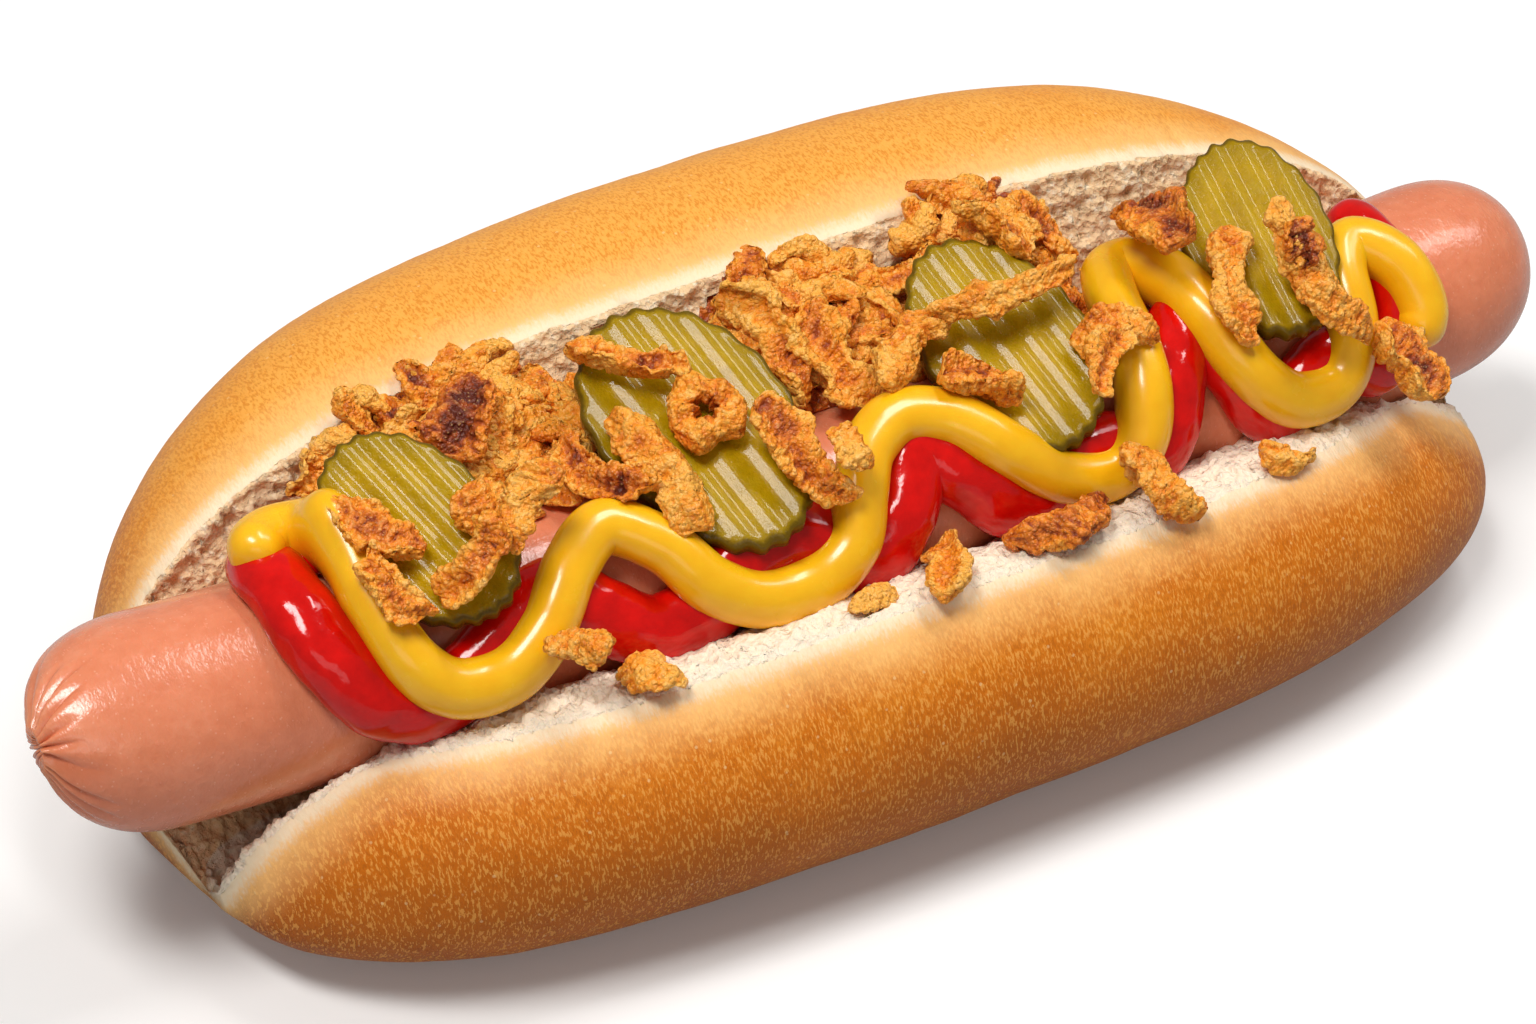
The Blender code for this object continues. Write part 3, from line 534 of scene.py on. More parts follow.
def pickle_rings(length, width, seed):
    """Oval slice in rings from the middle of the top, over the rim, to the middle below.

    Height follows a cosine across the slice, so the ridges run the long way; the rim has
    small scallops where the skin crosses the ridges.
    """
    angle = np.linspace(0.0, 2 * math.pi, 168, endpoint=False)
    out = np.concatenate([np.linspace(0.02, 0.94, 34), 0.94 + 0.06 * np.sin(np.linspace(0, math.pi / 2, 6))[1:]])
    edge = 1.0 - 0.30 * np.clip((out - 0.93) / 0.07, 0, 1) ** 2
    share = np.concatenate([out, out[::-1]])
    face = np.concatenate([edge, -edge[::-1]]) * PICKLE_THICK / 2
    r, a = np.meshgrid(share, angle, indexing="ij")
    scallop = 1.0 + 0.018 * np.cos(a * 22 + 2.0 * np.sin(a * 2)) * r ** 6
    oval = 1.0 + 0.03 * np.sin(2 * a + seed) + 0.02 * np.sin(3 * a + 2.1 * seed)
    x = np.cos(a) * r * scallop * oval * length / 2
    y = np.sin(a) * r * scallop * oval * width / 2
    wave = 0.4 * RIDGE_DEPTH * np.cos(y / (width / 2) * PICKLE_RIDGES * math.pi)
    z = wave + face[:, None]
    rings = np.stack([x, y, z], -1)
    return rings, r, np.sin(a) * r


def pickle_places():
    """Rings of each slice where it lies: its height comes from the CAD slice's box."""
    found = []
    for index, (x, y, heading, length, width, tilt) in enumerate(PICKLES):
        rings, share, across = pickle_rings(length, width, index)
        rings = turned(rings, heading, PICKLE_SLOPE, tilt) + np.array([x, y, 0.0])
        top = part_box(f"pickle_{index + 1}")[1][2] / MM - LAYOUT_SHIFT[2]
        rings[..., 2] += top - rings[..., 2].max()
        found.append((rings, share, across))
    return found


def tree_over(rings):
    """A search tree, in layout millimetres, over one ring grid."""
    rows, columns = rings.shape[:2]
    quads, fans = grid_faces(rows, columns)
    points = np.concatenate([rings.reshape(-1, 3), rings[0].mean(0)[None], rings[-1].mean(0)[None]])
    return BVHTree.FromPolygons(points.tolist(), quads.tolist() + fans.tolist())


def mustard_shell(pickles):
    """The bead of mustard, raised where it crosses a pickle slice."""
    middle = SAUSAGE_RADIUS + MUSTARD_LIFT
    stations = 720
    unrolled = np.array(MUSTARD_ROUTE, dtype=float)
    unrolled[:, 1] *= math.radians(1.0) * middle
    line = smooth_route(unrolled, stations)
    trees = [tree_over(rings) for rings, share, across in pickles]
    lift = np.zeros(stations)
    for index, (x, arc) in enumerate(line):
        angle = arc / middle
        centre_y, centre_z = sausage_axis(x)
        away = Vector((0.0, math.sin(angle), math.cos(angle)))
        start = Vector((x, centre_y, centre_z)) + away * 40.0
        for tree in trees:
            hit = tree.ray_cast(start, -away)[0]
            if hit is not None:
                reach = 40.0 - (start - hit).length
                lift[index] = max(lift[index], reach + 0.6 - middle)
    lift = blur(np.clip(lift, 0.0, 4.5), 7.0)
    rings = bead(MUSTARD_ROUTE, middle, (MUSTARD_RADIUS, MUSTARD_RADIUS), MUSTARD_RADIUS,
                 MUSTARD_LIFT, stations, 40, lift=lift, wave=0.05, seed=70)
    shell = Shell()
    shell.add(rings)
    return shell


def node_points(name):
    co = np.array([v.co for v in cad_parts[name].data.vertices], float)
    return co / MM - LAYOUT_SHIFT


def batter(points, seed):
    """Height and share of the fried batter: lumps with round beads of crust on them."""
    lumps = 0.42 * smooth_noise(points, 2.6, seed) + 0.34 * np.abs(smooth_noise(points, 1.2, seed + 1))
    beads = np.sqrt(np.clip(1.0 - np.square(cell_distance(points, 0.78, seed + 2) / 0.68), 0.0, 1.0))
    return lumps + 0.50 * beads - 0.32, beads


def onion_strip(length, width, thick, seed, rows, columns, curl=0.5):
    """One fried strip along x: a thin curling band whose long edges roll up or down.

    Its width swells and pinches along it, its edges are ragged, shallow pleats run the
    long way, and it is crusted with batter.  The other values are the share of bead at
    each point (its tops painted lighter as highlight, the gaps darker as shade), how deep in
    the fold it lies (painted darker there as shade), and a slow change of browning.
    """
    rng = np.random.default_rng(seed)
    u = np.linspace(-1.0, 1.0, rows)
    theta = np.linspace(0.0, 2 * math.pi, columns, endpoint=False)
    key = rng.uniform(-50.0, 50.0, 3)
    line = np.stack([u * length / 2, u * 0, u * 0], -1) + key
    swell = 1.0 + 0.38 * smooth_noise(line, 3.6, seed) + 0.22 * smooth_noise(line, 1.7, seed + 9)
    blunt = np.power(np.clip(1.0 - np.abs(u) ** 5, 0.0, 1.0), 0.45) * 0.97 + 0.03
    twist = rng.uniform(-0.9, 0.9) * u + 0.45 * smooth_noise(line, length * 0.4, seed + 1)
    half_w = width / 2 * swell * blunt
    half_t = thick / 2 * (0.8 + 0.4 * rng.random()) * blunt
    flat = np.cos(theta)
    y0 = half_w[:, None] * np.sign(flat) * np.abs(flat) ** 0.8
    z0 = half_t[:, None] * np.sin(theta)
    fold = rng.choice([-1.0, 1.0]) * rng.uniform(0.10, 0.34) * width
    z0 = z0 + fold * (np.square(flat) - 0.45) * blunt[:, None]
    pleat = np.cos(flat * 5.2 + 2.0 * smooth_noise(line, 5.0, seed + 2)[:, None] + rng.uniform(0, 6))
    z0 = z0 + 0.07 * width * pleat * blunt[:, None]
    c, s = np.cos(twist)[:, None], np.sin(twist)[:, None]
    y = y0 * c - z0 * s
    z = y0 * s + z0 * c
    sway = length * rng.uniform(-0.17, 0.17) * curl * 2
    arch = length * rng.uniform(0.0, 0.15) * curl
    drift = smooth_noise(line, length * 0.22 + 1.5, seed + 3)
    y = y + (sway * (0.5 - u ** 2) + 0.16 * width * drift)[:, None]
    z = z + arch * (0.5 - u ** 2)[:, None]
    x = np.broadcast_to((u * length / 2)[:, None], y.shape)
    x = x + (0.10 * length * smooth_noise(np.stack([y, z, z * 0], -1) + key, 2.2, seed + 8)) * u[:, None]
    rings = np.stack([x, y, z], -1)
    where = rings + key
    height, beads = batter(where, seed + 4)
    ragged = 0.35 * np.abs(flat) ** 3 * smooth_noise(where, 1.5, seed + 12)
    scale = min(1.0, 0.45 + width / 7.0)
    move = (height + ragged) * scale * blunt[:, None] ** 0.5
    rings = rings + ring_normals(rings) * move[..., None]
    # Painted shade: the inside of a strip's fold is marked to be painted darker.
    hollow = np.clip(1.0 - np.square(flat) * 2.2, 0.0, 1.0) * (np.sin(theta) * fold > 0) * blunt[:, None]
    hollow = np.broadcast_to(hollow, beads.shape)
    toast = 0.5 + 0.5 * smooth_noise(where, 3.8, seed + 7)
    return rings, beads, hollow, toast


def lay_axes(points):
    """Middle, directions and half sizes of a piece, longest first."""
    middle = (points.max(0) + points.min(0)) / 2
    spread = points - points.mean(0)
    directions = np.linalg.svd(spread, full_matrices=False)[2]
    if directions[2][2] < 0:
        directions[2] = -directions[2]
    directions[1] = np.cross(directions[2], directions[0])
    sizes = np.abs(spread @ directions.T).max(0)
    return points.mean(0), directions, sizes


PICKLE_NODES = [f"pickle_{index + 1}" for index in range(len(PICKLES))]
ONIONS = [f"onion_{index:02d}" for index in range(1, 37)]
DARK_ONIONS = {"onion_01": 0.70, "onion_21": 0.62, "onion_31": 0.65, "onion_30": 0.25,
               "onion_19": 0.35, "onion_18": 0.45, "onion_27": 0.5, "onion_10": 0.35}


def onion_shell():
    """Every loose strip, laid where its CAD piece lies, and the small ring."""
    shell = Shell()
    rng = np.random.default_rng(7)
    for index, name in enumerate(ONIONS):
        middle, directions, sizes = lay_axes(node_points(name))
        rings, beads, hollow, toast = onion_strip(
            sizes[0] * 2.0, sizes[1] * 2.05, max(sizes[2] * 1.3, 1.5), 300 + index, 64, 40)
        rings = rings @ directions + middle + np.array([0.0, 0.0, 0.3])
        dark = DARK_ONIONS.get(name, rng.uniform(0.0, 0.25))
        shell.add(rings, toast=toast, bead=beads, hollow=hollow, dark=dark)
    points = node_points("onion_ring")
    middle, directions, sizes = lay_axes(points)
    turn = np.linspace(0.0, 2 * math.pi, 73)[:-1] + 0.02
    theta = np.linspace(0.0, 2 * math.pi, 34, endpoint=False)
    t, th = np.meshgrid(turn, theta, indexing="ij")
    reach = 2.65 * (1.0 + 0.12 * np.sin(3 * t + 0.7) + 0.06 * np.sin(7 * t))
    tube = 1.75 * (1.0 + 0.18 * np.sin(5 * t))
    rings = np.stack([(reach + tube * np.cos(th)) * np.cos(t), (reach + tube * np.cos(th)) * np.sin(t),
                      tube * np.sin(th)], -1)
    rings = np.concatenate([rings, rings[:1] * 0.999], axis=0)
    bumps, beads = batter(rings, 91)
    # Painted shade round the ring's hole: its inner side is marked to be painted darker.
    inside = smoothstep(2.4, 1.0, np.hypot(rings[..., 0], rings[..., 1]))
    ring_up = np.stack([np.cos(th) * np.cos(t), np.cos(th) * np.sin(t), np.sin(th)], -1)
    ring_up = np.concatenate([ring_up, ring_up[:1]], axis=0)
    rings = rings + ring_up * bumps[..., None]
    rings = rings @ directions + middle + np.array([0.0, 0.0, 0.2])
    shell.add(rings, toast=0.55, bead=beads, hollow=inside, dark=0.25)
    return shell


HEAPS = ["onion_heap_1", "onion_heap_2", "onion_heap_3"]


def heap_shells():
    """A core sunk inside each heap and painted dark as the shade between the strips, and many small strips
    strewn over it.
    """
    core = Shell()
    strips = Shell()
    for number, name in enumerate(HEAPS):
        points = node_points(name)
        low, high = points.min(0), points.max(0)
        faces = [tuple(face.vertices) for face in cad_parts[name].data.polygons]
        tree = BVHTree.FromPolygons(points.tolist(), faces)
        rng = np.random.default_rng(500 + number)
        nx, ny = 90, 34
        xs = np.linspace(low[0] + 0.3, high[0] - 0.3, nx)
        rings = np.zeros((nx, 2 * ny, 3))
        for i, x in enumerate(xs):
            ys = np.linspace(low[1] + 0.3, high[1] - 0.3, ny)
            tops = []
            for y in ys:
                hit = tree.ray_cast(Vector((x, y, 200.0)), Vector((0, 0, -1)))[0]
                below = tree.ray_cast(Vector((x, y, -200.0)), Vector((0, 0, 1)))[0]
                tops.append((hit.z, below.z) if hit is not None and below is not None else (np.nan, np.nan))
            tops = np.array(tops)
            good = ~np.isnan(tops[:, 0])
            if not good.any():
                good[:] = True
                tops[:] = (low[2] + 1, low[2])
            top = np.interp(ys, ys[good], tops[good, 0]) - 1.3
            base = np.interp(ys, ys[good], tops[good, 1]) - 0.6
            yc = np.clip(ys, ys[good].min(), ys[good].max())
            top = np.maximum(top, base + 0.3)
            rings[i, :ny] = np.stack([np.full(ny, x), yc, top], -1)
            rings[i, ny:] = np.stack([np.full(ny, x), yc, base], -1)[::-1]
        rings[:, :ny, 2] += 0.5 * smooth_noise(rings[:, :ny], 2.4, 530 + number)
        height, beads = batter(rings, 540 + number)
        rings[:, :ny, 2] += height[:, :ny]
        # Painted shade: the sunk core is given a darker tone so that it shows as shade between the strips above
        # it.
        core.add(rings, toast=0.8, bead=beads, hollow=0.4, dark=0.5)
        count = int((high[0] - low[0]) * 2.1)
        for index in range(count):
            x = rng.uniform(low[0] + 1.0, high[0] - 1.0)
            y = rng.uniform(low[1] + 1.0, high[1] - 0.5)
            hit, face_normal = tree.ray_cast(Vector((x, y, 200.0)), Vector((0, 0, -1)))[:2]
            if hit is None:
                continue
            heading = rng.uniform(0.0, math.pi)
            face_normal = np.array(face_normal) + rng.uniform(-0.35, 0.35, 3)
            face_normal /= np.linalg.norm(face_normal)
            ahead = np.array([math.cos(heading), math.sin(heading), 0.0])
            ahead -= face_normal * (ahead @ face_normal)
            ahead /= np.linalg.norm(ahead)
            directions = np.stack([ahead, np.cross(face_normal, ahead), face_normal])
            length = rng.uniform(6.0, 13.0)
            strip, beads, hollow, toast = onion_strip(
                length, rng.uniform(2.6, 4.4), rng.uniform(1.2, 1.9),
                1000 + number * 200 + index, 30, 18, 0.7)
            centre = np.array(hit) + face_normal * rng.uniform(-0.9, 0.5)
            strips.add(strip @ directions + centre, toast=toast, bead=beads, hollow=hollow,
                       dark=rng.uniform(0.0, 0.6) ** 1.5)
    return core, strips


def crumb_shell():
    """Loose bits of batter: small lumpy beads strewn along the toppings and the lip."""
    shell = Shell()
    rng = np.random.default_rng(900)
    trees = {}
    for name in ("roll", "sausage", "ketchup", "mustard", *PICKLE_NODES, *HEAPS):
        faces = [tuple(face.vertices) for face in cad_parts[name].data.polygons]
        trees[name] = BVHTree.FromPolygons(node_points(name).tolist(), faces)
    theta = np.linspace(0.0, 2 * math.pi, 9, endpoint=False)
    polar = np.linspace(0.25, math.pi - 0.25, 6)
    for index in range(330):
        x = rng.uniform(-60.0, 72.0)
        y = rng.choice([rng.uniform(-20.5, -17.5), rng.uniform(0.0, 12.0)])
        best = None
        under = None
        for name, tree in trees.items():
            hit = tree.ray_cast(Vector((x, y, 200.0)), Vector((0, 0, -1)))[0]
            if hit is not None and (best is None or hit.z > best.z):
                best = hit
                under = name
        size = rng.uniform(0.25, 0.75)
        gathered = smooth_noise(np.array([[x, 0.0, 0.0]]), 9.0, 903)[0]
        if under in ("ketchup", "mustard", *PICKLE_NODES) or (y < 0.0 and gathered < 0.15):
            continue
        p, t = np.meshgrid(polar, theta, indexing="ij")
        ball = np.stack([np.cos(p), np.sin(p) * np.cos(t), np.sin(p) * np.sin(t)], -1)
        ball *= size * (1.0 + 0.4 * smooth_noise(ball + index * 3.1, 0.8, 901))[..., None]
        ball *= np.array([rng.uniform(1.0, 1.7), 1.0, 0.8])
        ball = turned(ball, rng.uniform(0, 360), rng.uniform(-30, 30), 0.0)
        shell.add(ball + np.array(best) + np.array([0, 0, size * 0.4]), toast=rng.random(),
                  bead=0.5, hollow=0.0, dark=rng.uniform(0.0, 0.6))
    return shell


# ---------------------------------------------------------------- finishes

class Amount:
    """A number that varies over a surface, on which + - * / and ** build Math nodes."""

    def __init__(self, paint, socket):
        self.paint = paint
        self.socket = socket

    def _with(self, operation, other, swap=False):
        first, second = (other, self) if swap else (self, other)
        return self.paint.node("ShaderNodeMath", {"operation": operation}, {0: first, 1: second})

    def __add__(self, other):
        return self._with("ADD", other)

    def __sub__(self, other):
        return self._with("SUBTRACT", other)

    def __rsub__(self, other):
        return self._with("SUBTRACT", other, True)

    def __mul__(self, other):
        return self._with("MULTIPLY", other)

    def __truediv__(self, other):
        return self._with("DIVIDE", other)

    def __pow__(self, other):
        return self._with("POWER", other)

    __radd__ = __add__
    __rmul__ = __mul__

    def least(self, other):
        return self._with("MINIMUM", other)

    def most(self, other):
        return self._with("MAXIMUM", other)

    def step(self, low, high):
        """0 below low, 1 above high, smooth between."""
        return self.paint.node("ShaderNodeMapRange", {"interpolation_type": "SMOOTHSTEP"},
                               {0: self, 1: low, 2: high})


class Paint:
    def __init__(self, name, **values):
        self.material = bpy.data.materials.new(name)
        self.material.use_nodes = True
        self.tree = self.material.node_tree
        self.shader = self.tree.nodes["Principled BSDF"]
        for key, value in values.items():
            self.shader.inputs[key.replace("_", " ")].default_value = value
        self.where = self.node("ShaderNodeTexCoord", {}, {}, "Object")

    def node(self, kind, settings, inputs, output=0):
        made = self.tree.nodes.new(kind)
        for key, value in settings.items():
            if key == "stops":
                ramp = made.color_ramp
                while len(ramp.elements) < len(value):
                    ramp.elements.new(0.5)
                for element, (position, colour) in zip(ramp.elements, value):
                    element.position = position
                    element.color = (*colour, 1.0)
            else:
                setattr(made, key, value)
        for key, value in inputs.items():
            if isinstance(value, Amount):
                self.tree.links.new(value.socket, made.inputs[key])
            else:
                made.inputs[key].default_value = value
        return Amount(self, made.outputs[output])

    def value(self, name):
        return self.node("ShaderNodeAttribute", {"attribute_name": name}, {}, "Fac")

    def noise(self, size_mm, detail=2.0, rough=0.5, stretch=None, distortion=0.0):
        where = self.where
        if stretch:
            where = self.node("ShaderNodeVectorMath", {"operation": "MULTIPLY"}, {0: where, 1: stretch})
        return self.node("ShaderNodeTexNoise", {}, {
            "Vector": where, "Scale": 1.0 / (size_mm * MM), "Detail": detail,
            "Roughness": rough, "Distortion": distortion})

    def cells(self, size_mm, feature="F1"):
        return self.node("ShaderNodeTexVoronoi", {"feature": feature}, {
            "Vector": self.where, "Scale": 1.0 / (size_mm * MM)}, "Distance")

    def blend(self, share, first, second):
        """Mix of two colours, each a tuple or a colour link."""
        first, second = (c if isinstance(c, Amount) else (*c, 1.0) for c in (first, second))
        return self.node("ShaderNodeMix", {"data_type": "RGBA"}, {0: share, 6: first, 7: second}, 2)

    def ramp(self, amount, stops):
        return self.node("ShaderNodeValToRGB", {"stops": stops}, {0: amount})

    def bump(self, height, distance_mm, strength=1.0, under=None):
        inputs = {"Height": height, "Distance": distance_mm * MM, "Strength": strength}
        if under is not None:
            inputs["Normal"] = under
        return self.node("ShaderNodeBump", {}, inputs)

    def set(self, **links):
        for key, amount in links.items():
            self.tree.links.new(amount.socket, self.shader.inputs[key.replace("_", " ")])
        return self.material


def roll_finish():
    """Baked crust, pale beside the cut and browner below, and an open off-white crumb with painted shade in its
    pores and deeper down the cut, and painted light on the opened front half's crumb.
    """
    paint = Paint("roll_finish", IOR=1.42, Subsurface_Weight=0.08, Subsurface_Scale=0.003,
                  Specular_IOR_Level=0.2)
    paint.shader.inputs["Subsurface Radius"].default_value = (1.0, 0.5, 0.25)
    edge = paint.value("edge")
    height = paint.node("ShaderNodeSeparateXYZ", {}, {0: paint.where}, 2)
    cloud = paint.noise(14.0, 3.0, 0.55)
    mottle = paint.noise(2.4, 4.0, 0.65)
    fleck = paint.noise(0.40, 2.0, 0.6, (1.5, 0.5, 0.5))
    browning = ((0.047 - height) * 25.0 + (cloud - 0.5) * 0.60 + (mottle - 0.5) * 0.35
                + (fleck - 0.5) * 0.55)
    tone = paint.ramp(browning, [(0.0, (0.88, 0.39, 0.065)), (0.25, (0.82, 0.28, 0.022)),
                                 (0.55, (0.62, 0.150, 0.005)), (1.0, (0.33, 0.062, 0.002))])
    tone = paint.blend(fleck.step(0.52, 0.38) * 0.60, tone, (0.66, 0.19, 0.010))
    tone = paint.blend(fleck.step(0.50, 0.62) * 0.60, tone, (0.93, 0.44, 0.09))
    tone = paint.blend(fleck.step(0.48, 0.34) * 0.60 * browning.step(0.05, 0.5), tone, (0.42, 0.095, 0.006))
    rim = 1.0 - (edge + (mottle - 0.5) * 3.0 + (cloud - 0.5) * 5.0).step(0.0, 9.0)
    tone = paint.blend(rim * 0.75, tone, (0.94, 0.58, 0.22))
    pale = 1.0 - (edge + (fleck - 0.5) * 2.5).step(0.1, 2.6)
    tone = paint.blend(pale * 0.85, tone, (0.95, 0.80, 0.58))
    speck = paint.cells(1.25).step(0.20, 0.10) * mottle.step(0.5, 0.62)
    tone = paint.blend(speck * 0.45, tone, (0.93, 0.68, 0.33))
    crumb = (paint.value("crumb") + (fleck - 0.5) * 0.5).step(0.42, 0.58)
    depth = paint.value("depth")
    # Painted shade in the crumb's pores: away from small pale spots the crumb takes a darker, warmer hollow
    # colour.
    hole = paint.cells(1.1).step(0.15, 0.45)
    dough = paint.blend(hole, (0.98, 0.80, 0.56), (0.90, 0.62, 0.35))
    dough = paint.blend((mottle - 0.45).most(0.0) * 1.2, dough, (0.95, 0.82, 0.62))
    # Painted shade: the crumb is darker and warmer the deeper it lies down the cut, away from the rim.
    dough = paint.blend(depth.step(8.0, 24.0) * 0.6, dough, (0.82, 0.50, 0.24))
    # Painted light: the opened front half's crumb is painted paler than the back half's, which stands in shade.
    dough = paint.blend(paint.value("front") * 0.8, dough, (0.98, 0.86, 0.70))
    colour = paint.blend(crumb, tone, dough)
    fine = paint.bump(fleck, 0.14, 0.6)
    crumb_grain = paint.bump((paint.noise(0.9, 3.0, 0.7) - 0.5) * crumb, 0.7, 0.6, fine)
    crumb_grain = paint.bump((paint.cells(0.9) - 0.5) * crumb, 0.5, 0.7, crumb_grain)
    gloss = 0.42 + (fleck - 0.5) * 0.25 + crumb * 0.4
    return paint.set(Base_Color=colour, Roughness=gloss, Normal=crumb_grain)


def sausage_finish():
    """Moist pink skin: satin shine broken by a fine cross grain, with painted shade in the grooves of the pleats
    at the tied end.
    """
    paint = Paint("sausage_finish", IOR=1.42, Subsurface_Weight=0.22, Subsurface_Scale=0.004,
                  Coat_Weight=0.35,
                  Coat_Roughness=0.14, Specular_IOR_Level=0.6)
    paint.shader.inputs["Subsurface Radius"].default_value = (1.0, 0.35, 0.2)
    cloud = paint.noise(11.0, 3.0, 0.5)
    grain = paint.noise(0.6, 2.0, 0.6, (1.0, 0.5, 0.5))
    mottle = paint.noise(1.8, 3.0, 0.6)
    colour = paint.ramp(cloud * 0.6 + mottle * 0.4, [(0.3, (0.68, 0.19, 0.085)),
                                                     (0.55, (0.77, 0.25, 0.125)), (0.8, (0.84, 0.33, 0.19))])
    # Painted shade: the pleat grooves at the tied end are blended towards a darker red.
    colour = paint.blend(paint.value("pleat") * 0.75, colour, (0.62, 0.13, 0.045))
    speck = paint.cells(0.9).step(0.16, 0.08)
    colour = paint.blend(speck * 0.25, colour, (0.95, 0.58, 0.42))
    normal = paint.bump(grain, 0.12, 0.7, paint.bump(mottle, 0.20, 0.6))
    return paint.set(Base_Color=colour, Roughness=0.24 + (grain - 0.5) * 0.2, Normal=normal)


def ketchup_finish():
    paint = Paint("ketchup_finish", IOR=1.45, Coat_Weight=0.25, Coat_Roughness=0.04,
                  Specular_IOR_Level=0.35)
    soft = paint.noise(3.0, 3.0, 0.6)
    colour = paint.ramp(soft, [(0.3, (0.52, 0.002, 0.001)), (0.7, (0.70, 0.004, 0.002))])
    normal = paint.bump(paint.noise(1.3, 2.0, 0.5), 0.16, 0.45)
    return paint.set(Base_Color=colour, Roughness=0.08 + soft * 0.08, Normal=normal)


def mustard_finish():
    paint = Paint("mustard_finish", IOR=1.45, Coat_Weight=0.35, Coat_Roughness=0.12,
                  Subsurface_Weight=0.12, Subsurface_Scale=0.002, Specular_IOR_Level=0.5)
    soft = paint.noise(4.0, 3.0, 0.55)
    colour = paint.ramp(soft, [(0.3, (0.90, 0.45, 0.004)), (0.7, (0.96, 0.52, 0.008))])
    normal = paint.bump(paint.noise(0.8, 2.0, 0.5), 0.05, 0.3)
    return paint.set(Base_Color=colour, Roughness=0.20 + soft * 0.12, Normal=normal)


def pickle_finish():
    """Wet olive flesh with a painted highlight along the ridge crests, glassy round the seeds, with a dark skin.
    """
    paint = Paint("pickle_finish", IOR=1.45, Coat_Weight=0.25, Coat_Roughness=0.06,
                  Subsurface_Weight=0.25, Subsurface_Scale=0.003, Specular_IOR_Level=0.12)
    paint.shader.inputs["Subsurface Radius"].default_value = (1.0, 0.9, 0.2)
    out = paint.value("out")
    ridge = paint.value("ridge")
    cloud = paint.noise(4.5, 3.0, 0.55)
    grain = paint.noise(0.7, 3.0, 0.6)
    flesh = paint.ramp(cloud * 0.65 + grain * 0.35, [(0.3, (0.36, 0.215, 0.001)),
                                                     (0.55, (0.48, 0.29, 0.002)), (0.8, (0.60, 0.37, 0.006))])
    # Painted highlight: the ridge crests are blended towards a paler olive.
    flesh = paint.blend(ridge * 0.14, flesh, (0.52, 0.37, 0.01))
    seed = paint.cells(3.0).step(0.36, 0.22) * (1.0 - out.step(0.55, 0.72)) * out.step(0.15, 0.3)
    flesh = paint.blend(seed * 0.18, flesh, (0.52, 0.39, 0.02))
    shade = (out + (cloud - 0.5) * 0.2).step(0.66, 0.98)
    colour = paint.blend(shade * 0.6, flesh, (0.26, 0.165, 0.003))
    skin = (out + (grain - 0.5) * 0.05).step(0.935, 0.985)
    colour = paint.blend(skin, colour, (0.13, 0.075, 0.003))
    glint = paint.noise(0.45, 2.0, 0.7)
    normal = paint.bump(grain, 0.16, 0.6, paint.bump(glint, 0.16, 0.8))
    return paint.set(Base_Color=colour, Roughness=0.18 + (grain - 0.5) * 0.25, Normal=normal)


def onion_finish():
    """Fried batter, near black where burnt, with a painted highlight on the high beads and painted shade
    red-brown between them and in the folds.
    """
    paint = Paint("onion_finish", IOR=1.45, Subsurface_Weight=0.06, Subsurface_Scale=0.002,
                  Specular_IOR_Level=0.45)
    toast = paint.value("toast")
    dark = paint.value("dark")
    grain = paint.noise(0.8, 3.0, 0.65)
    cloud = paint.noise(3.0, 3.0, 0.6)
    bead = paint.value("bead")
    # Painted light and shade: a lower bead share and the hollow of a fold push towards darker red-brown; toast,
    # cloud, grain and dark are the batter's own browning.
    amount = ((toast - 0.5) * 0.60 + (cloud - 0.5) * 0.95 + (grain - 0.5) * 0.6 + dark * 0.62
              + (0.55 - bead) * 0.30 + paint.value("hollow") * 0.34 + 0.08)
    colour = paint.ramp(amount, [(0.0, (0.97, 0.46, 0.07)), (0.25, (0.94, 0.33, 0.022)),
                                 (0.50, (0.78, 0.20, 0.010)), (0.76, (0.36, 0.060, 0.008)),
                                 (1.0, (0.12, 0.018, 0.007))])
    # Painted highlight: the tops of the beads are blended towards pale gold.
    glow = bead.step(0.75, 1.0) * (1.0 - dark * 0.8)
    colour = paint.blend(glow * 0.40, colour, (0.95, 0.58, 0.22))
    crisp = paint.cells(0.5)
    colour = paint.blend(crisp.step(0.30, 0.10) * 0.35, colour, (0.95, 0.58, 0.22))
    normal = paint.bump(grain, 0.40, 0.8, paint.bump(1.0 - crisp, 0.35, 0.9))
    return paint.set(Base_Color=colour, Roughness=0.38 + (grain - 0.5) * 0.5, Normal=normal)


# ---------------------------------------------------------------- pieces

def build_pieces():
    piece = roll_shell().build("roll_skin", roll_finish())
    stand_for(piece, "roll", "roll")
    piece = sausage_shell().build("sausage_skin", sausage_finish())
    stand_for(piece, "sausage", "sausage")
    piece = ketchup_shell().build("ketchup_bead", ketchup_finish())
    stand_for(piece, "ketchup", "ketchup")
    pickles = pickle_places()
    piece = mustard_shell(pickles).build("mustard_bead", mustard_finish())
    stand_for(piece, "mustard", "mustard")
    green = pickle_finish()
    for index, (rings, share, across) in enumerate(pickles):
        shell = Shell()
        # The ridge crest share, which the finish paints lighter as a highlight.
        ridge = 0.5 + 0.5 * np.cos(across * PICKLE_RIDGES * math.pi)
        shell.add(rings, out=share, ridge=ridge)
        piece = shell.build(f"pickle_slice_{index + 1}", green)
        stand_for(piece, "pickle", f"pickle_{index + 1}")
    fried = onion_finish()
    piece = onion_shell().build("fried_onion_strips", fried)
    stand_for(piece, "fried_onion", "onion_ring", *ONIONS)
    core, strips = heap_shells()
    piece = core.build("onion_heap_shade_core", fried)
    stand_for(piece, "fried_onion", *HEAPS)
    piece = strips.build("onion_heap_strips", fried)
    stand_for(piece, "fried_onion", *HEAPS)
    piece = crumb_shell().build("batter_crumbs", fried)
    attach(piece, "root")


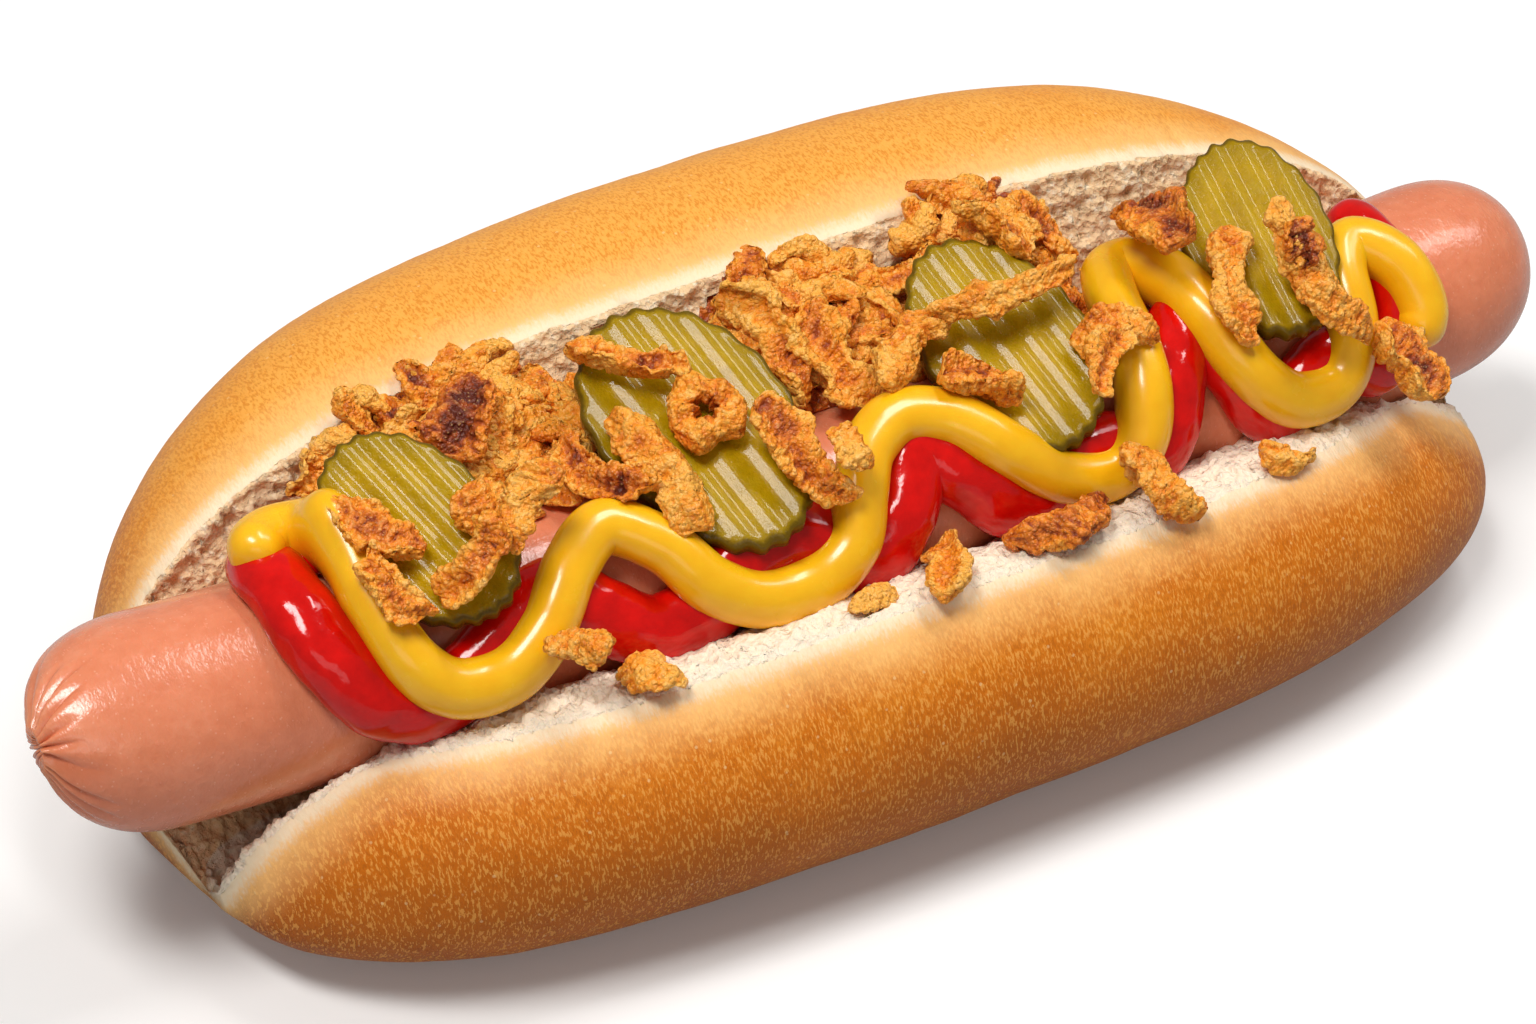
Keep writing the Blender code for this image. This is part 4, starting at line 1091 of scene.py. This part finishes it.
# ---------------------------------------------------------------- studio

CAMERA_AZIMUTH = 28.66          # swing from straight behind +Y towards +X, degrees
CAMERA_ELEVATION = 41.41
CAMERA_ROLL = 0.95
CAMERA_DISTANCE = 515.9
CAMERA_LENS = 105.3
CAMERA_TARGET = (-6.5, -3.7, 30.0)


def add_camera():
    """Aim from the near end, above the opened front half, with a long lens."""
    a, e, r = (math.radians(v) for v in (CAMERA_AZIMUTH, CAMERA_ELEVATION, CAMERA_ROLL))
    ahead = Vector((math.sin(a) * math.cos(e), math.cos(a) * math.cos(e), -math.sin(e)))
    right = Vector((math.cos(a), -math.sin(a), 0.0))
    up = right.cross(ahead)
    right, up = right * math.cos(r) + up * math.sin(r), up * math.cos(r) - right * math.sin(r)
    target = Vector((np.array(CAMERA_TARGET) + LAYOUT_SHIFT) * MM)
    place = target - ahead * CAMERA_DISTANCE * MM
    camera = bpy.data.objects.new("camera", bpy.data.cameras.new("camera"))
    camera.data.sensor_width = 36.0
    camera.data.lens = CAMERA_LENS
    camera.data.clip_start = 0.01
    rows = [(right[k], up[k], -ahead[k], place[k]) for k in range(3)] + [(0, 0, 0, 1)]
    camera.matrix_world = Matrix(rows)
    bpy.context.scene.collection.objects.link(camera)
    bpy.context.scene.camera = camera


def add_lamp(name, place, target, size, power, colour):
    lamp = bpy.data.lights.new(name, "AREA")
    lamp.shape = "RECTANGLE"
    lamp.size, lamp.size_y = size
    lamp.energy = power
    lamp.color = colour
    body = bpy.data.objects.new(name, lamp)
    body.location = place
    body.rotation_euler = (Vector(target) - Vector(place)).to_track_quat("-Z", "Y").to_euler()
    bpy.context.scene.collection.objects.link(body)


def add_studio():
    scene = bpy.context.scene
    scene.view_settings.view_transform = "Standard"
    world = bpy.data.worlds.new("studio")
    scene.world = world
    world.use_nodes = True
    nodes = world.node_tree.nodes
    links = world.node_tree.links
    sky = nodes["Background"]
    sky.inputs[0].default_value = (1.0, 0.99, 0.97, 1.0)
    sky.inputs[1].default_value = 0.22
    white = nodes.new("ShaderNodeBackground")
    white.inputs[1].default_value = 1.0
    seen = nodes.new("ShaderNodeLightPath")
    choose = nodes.new("ShaderNodeMixShader")
    links.new(seen.outputs["Is Camera Ray"], choose.inputs[0])
    links.new(sky.outputs[0], choose.inputs[1])
    links.new(white.outputs[0], choose.inputs[2])
    links.new(choose.outputs[0], nodes["World Output"].inputs[0])
    centre = (0.0, 0.0, 0.03)
    add_lamp("key", (-0.28, -0.10, 0.78), centre, (0.34, 0.18), 4.2, (1.0, 0.985, 0.96))
    add_lamp("top", (0.28, 0.04, 0.78), centre, (0.34, 0.10), 1.9, (1.0, 0.99, 0.97))
    add_lamp("window", (0.45, -0.05, 0.60), centre, (0.14, 0.34), 0.9, (1.0, 0.98, 0.97))
    add_lamp("front", (-0.40, -0.80, 0.50), centre, (0.5, 0.3), 0.6, (1.0, 0.99, 0.98))
    floor = bpy.data.meshes.new("floor")
    reach = 3.0
    floor.from_pydata([(-reach, -reach, 0), (reach, -reach, 0), (reach, reach, 0),
                       (-reach, reach, 0)], [], [(0, 1, 2, 3)])
    pale = Paint("floor_finish", Roughness=0.9, Specular_IOR_Level=0.1, Emission_Strength=0.06,
                 Emission_Color=(1.0, 1.0, 1.0, 1.0))
    tone = pale.noise(60.0, 2.0, 0.5)
    seen_white = pale.node("ShaderNodeLightPath", {}, {}, "Is Camera Ray")
    tone = pale.blend(tone, (0.93, 0.93, 0.93), (0.95, 0.95, 0.95))
    pale.set(Base_Color=pale.blend(seen_white, (0.42, 0.42, 0.42), tone))
    floor.materials.append(pale.material)
    body = bpy.data.objects.new("floor", floor)
    scene.collection.objects.link(body)


build_pieces()
add_camera()
add_studio()
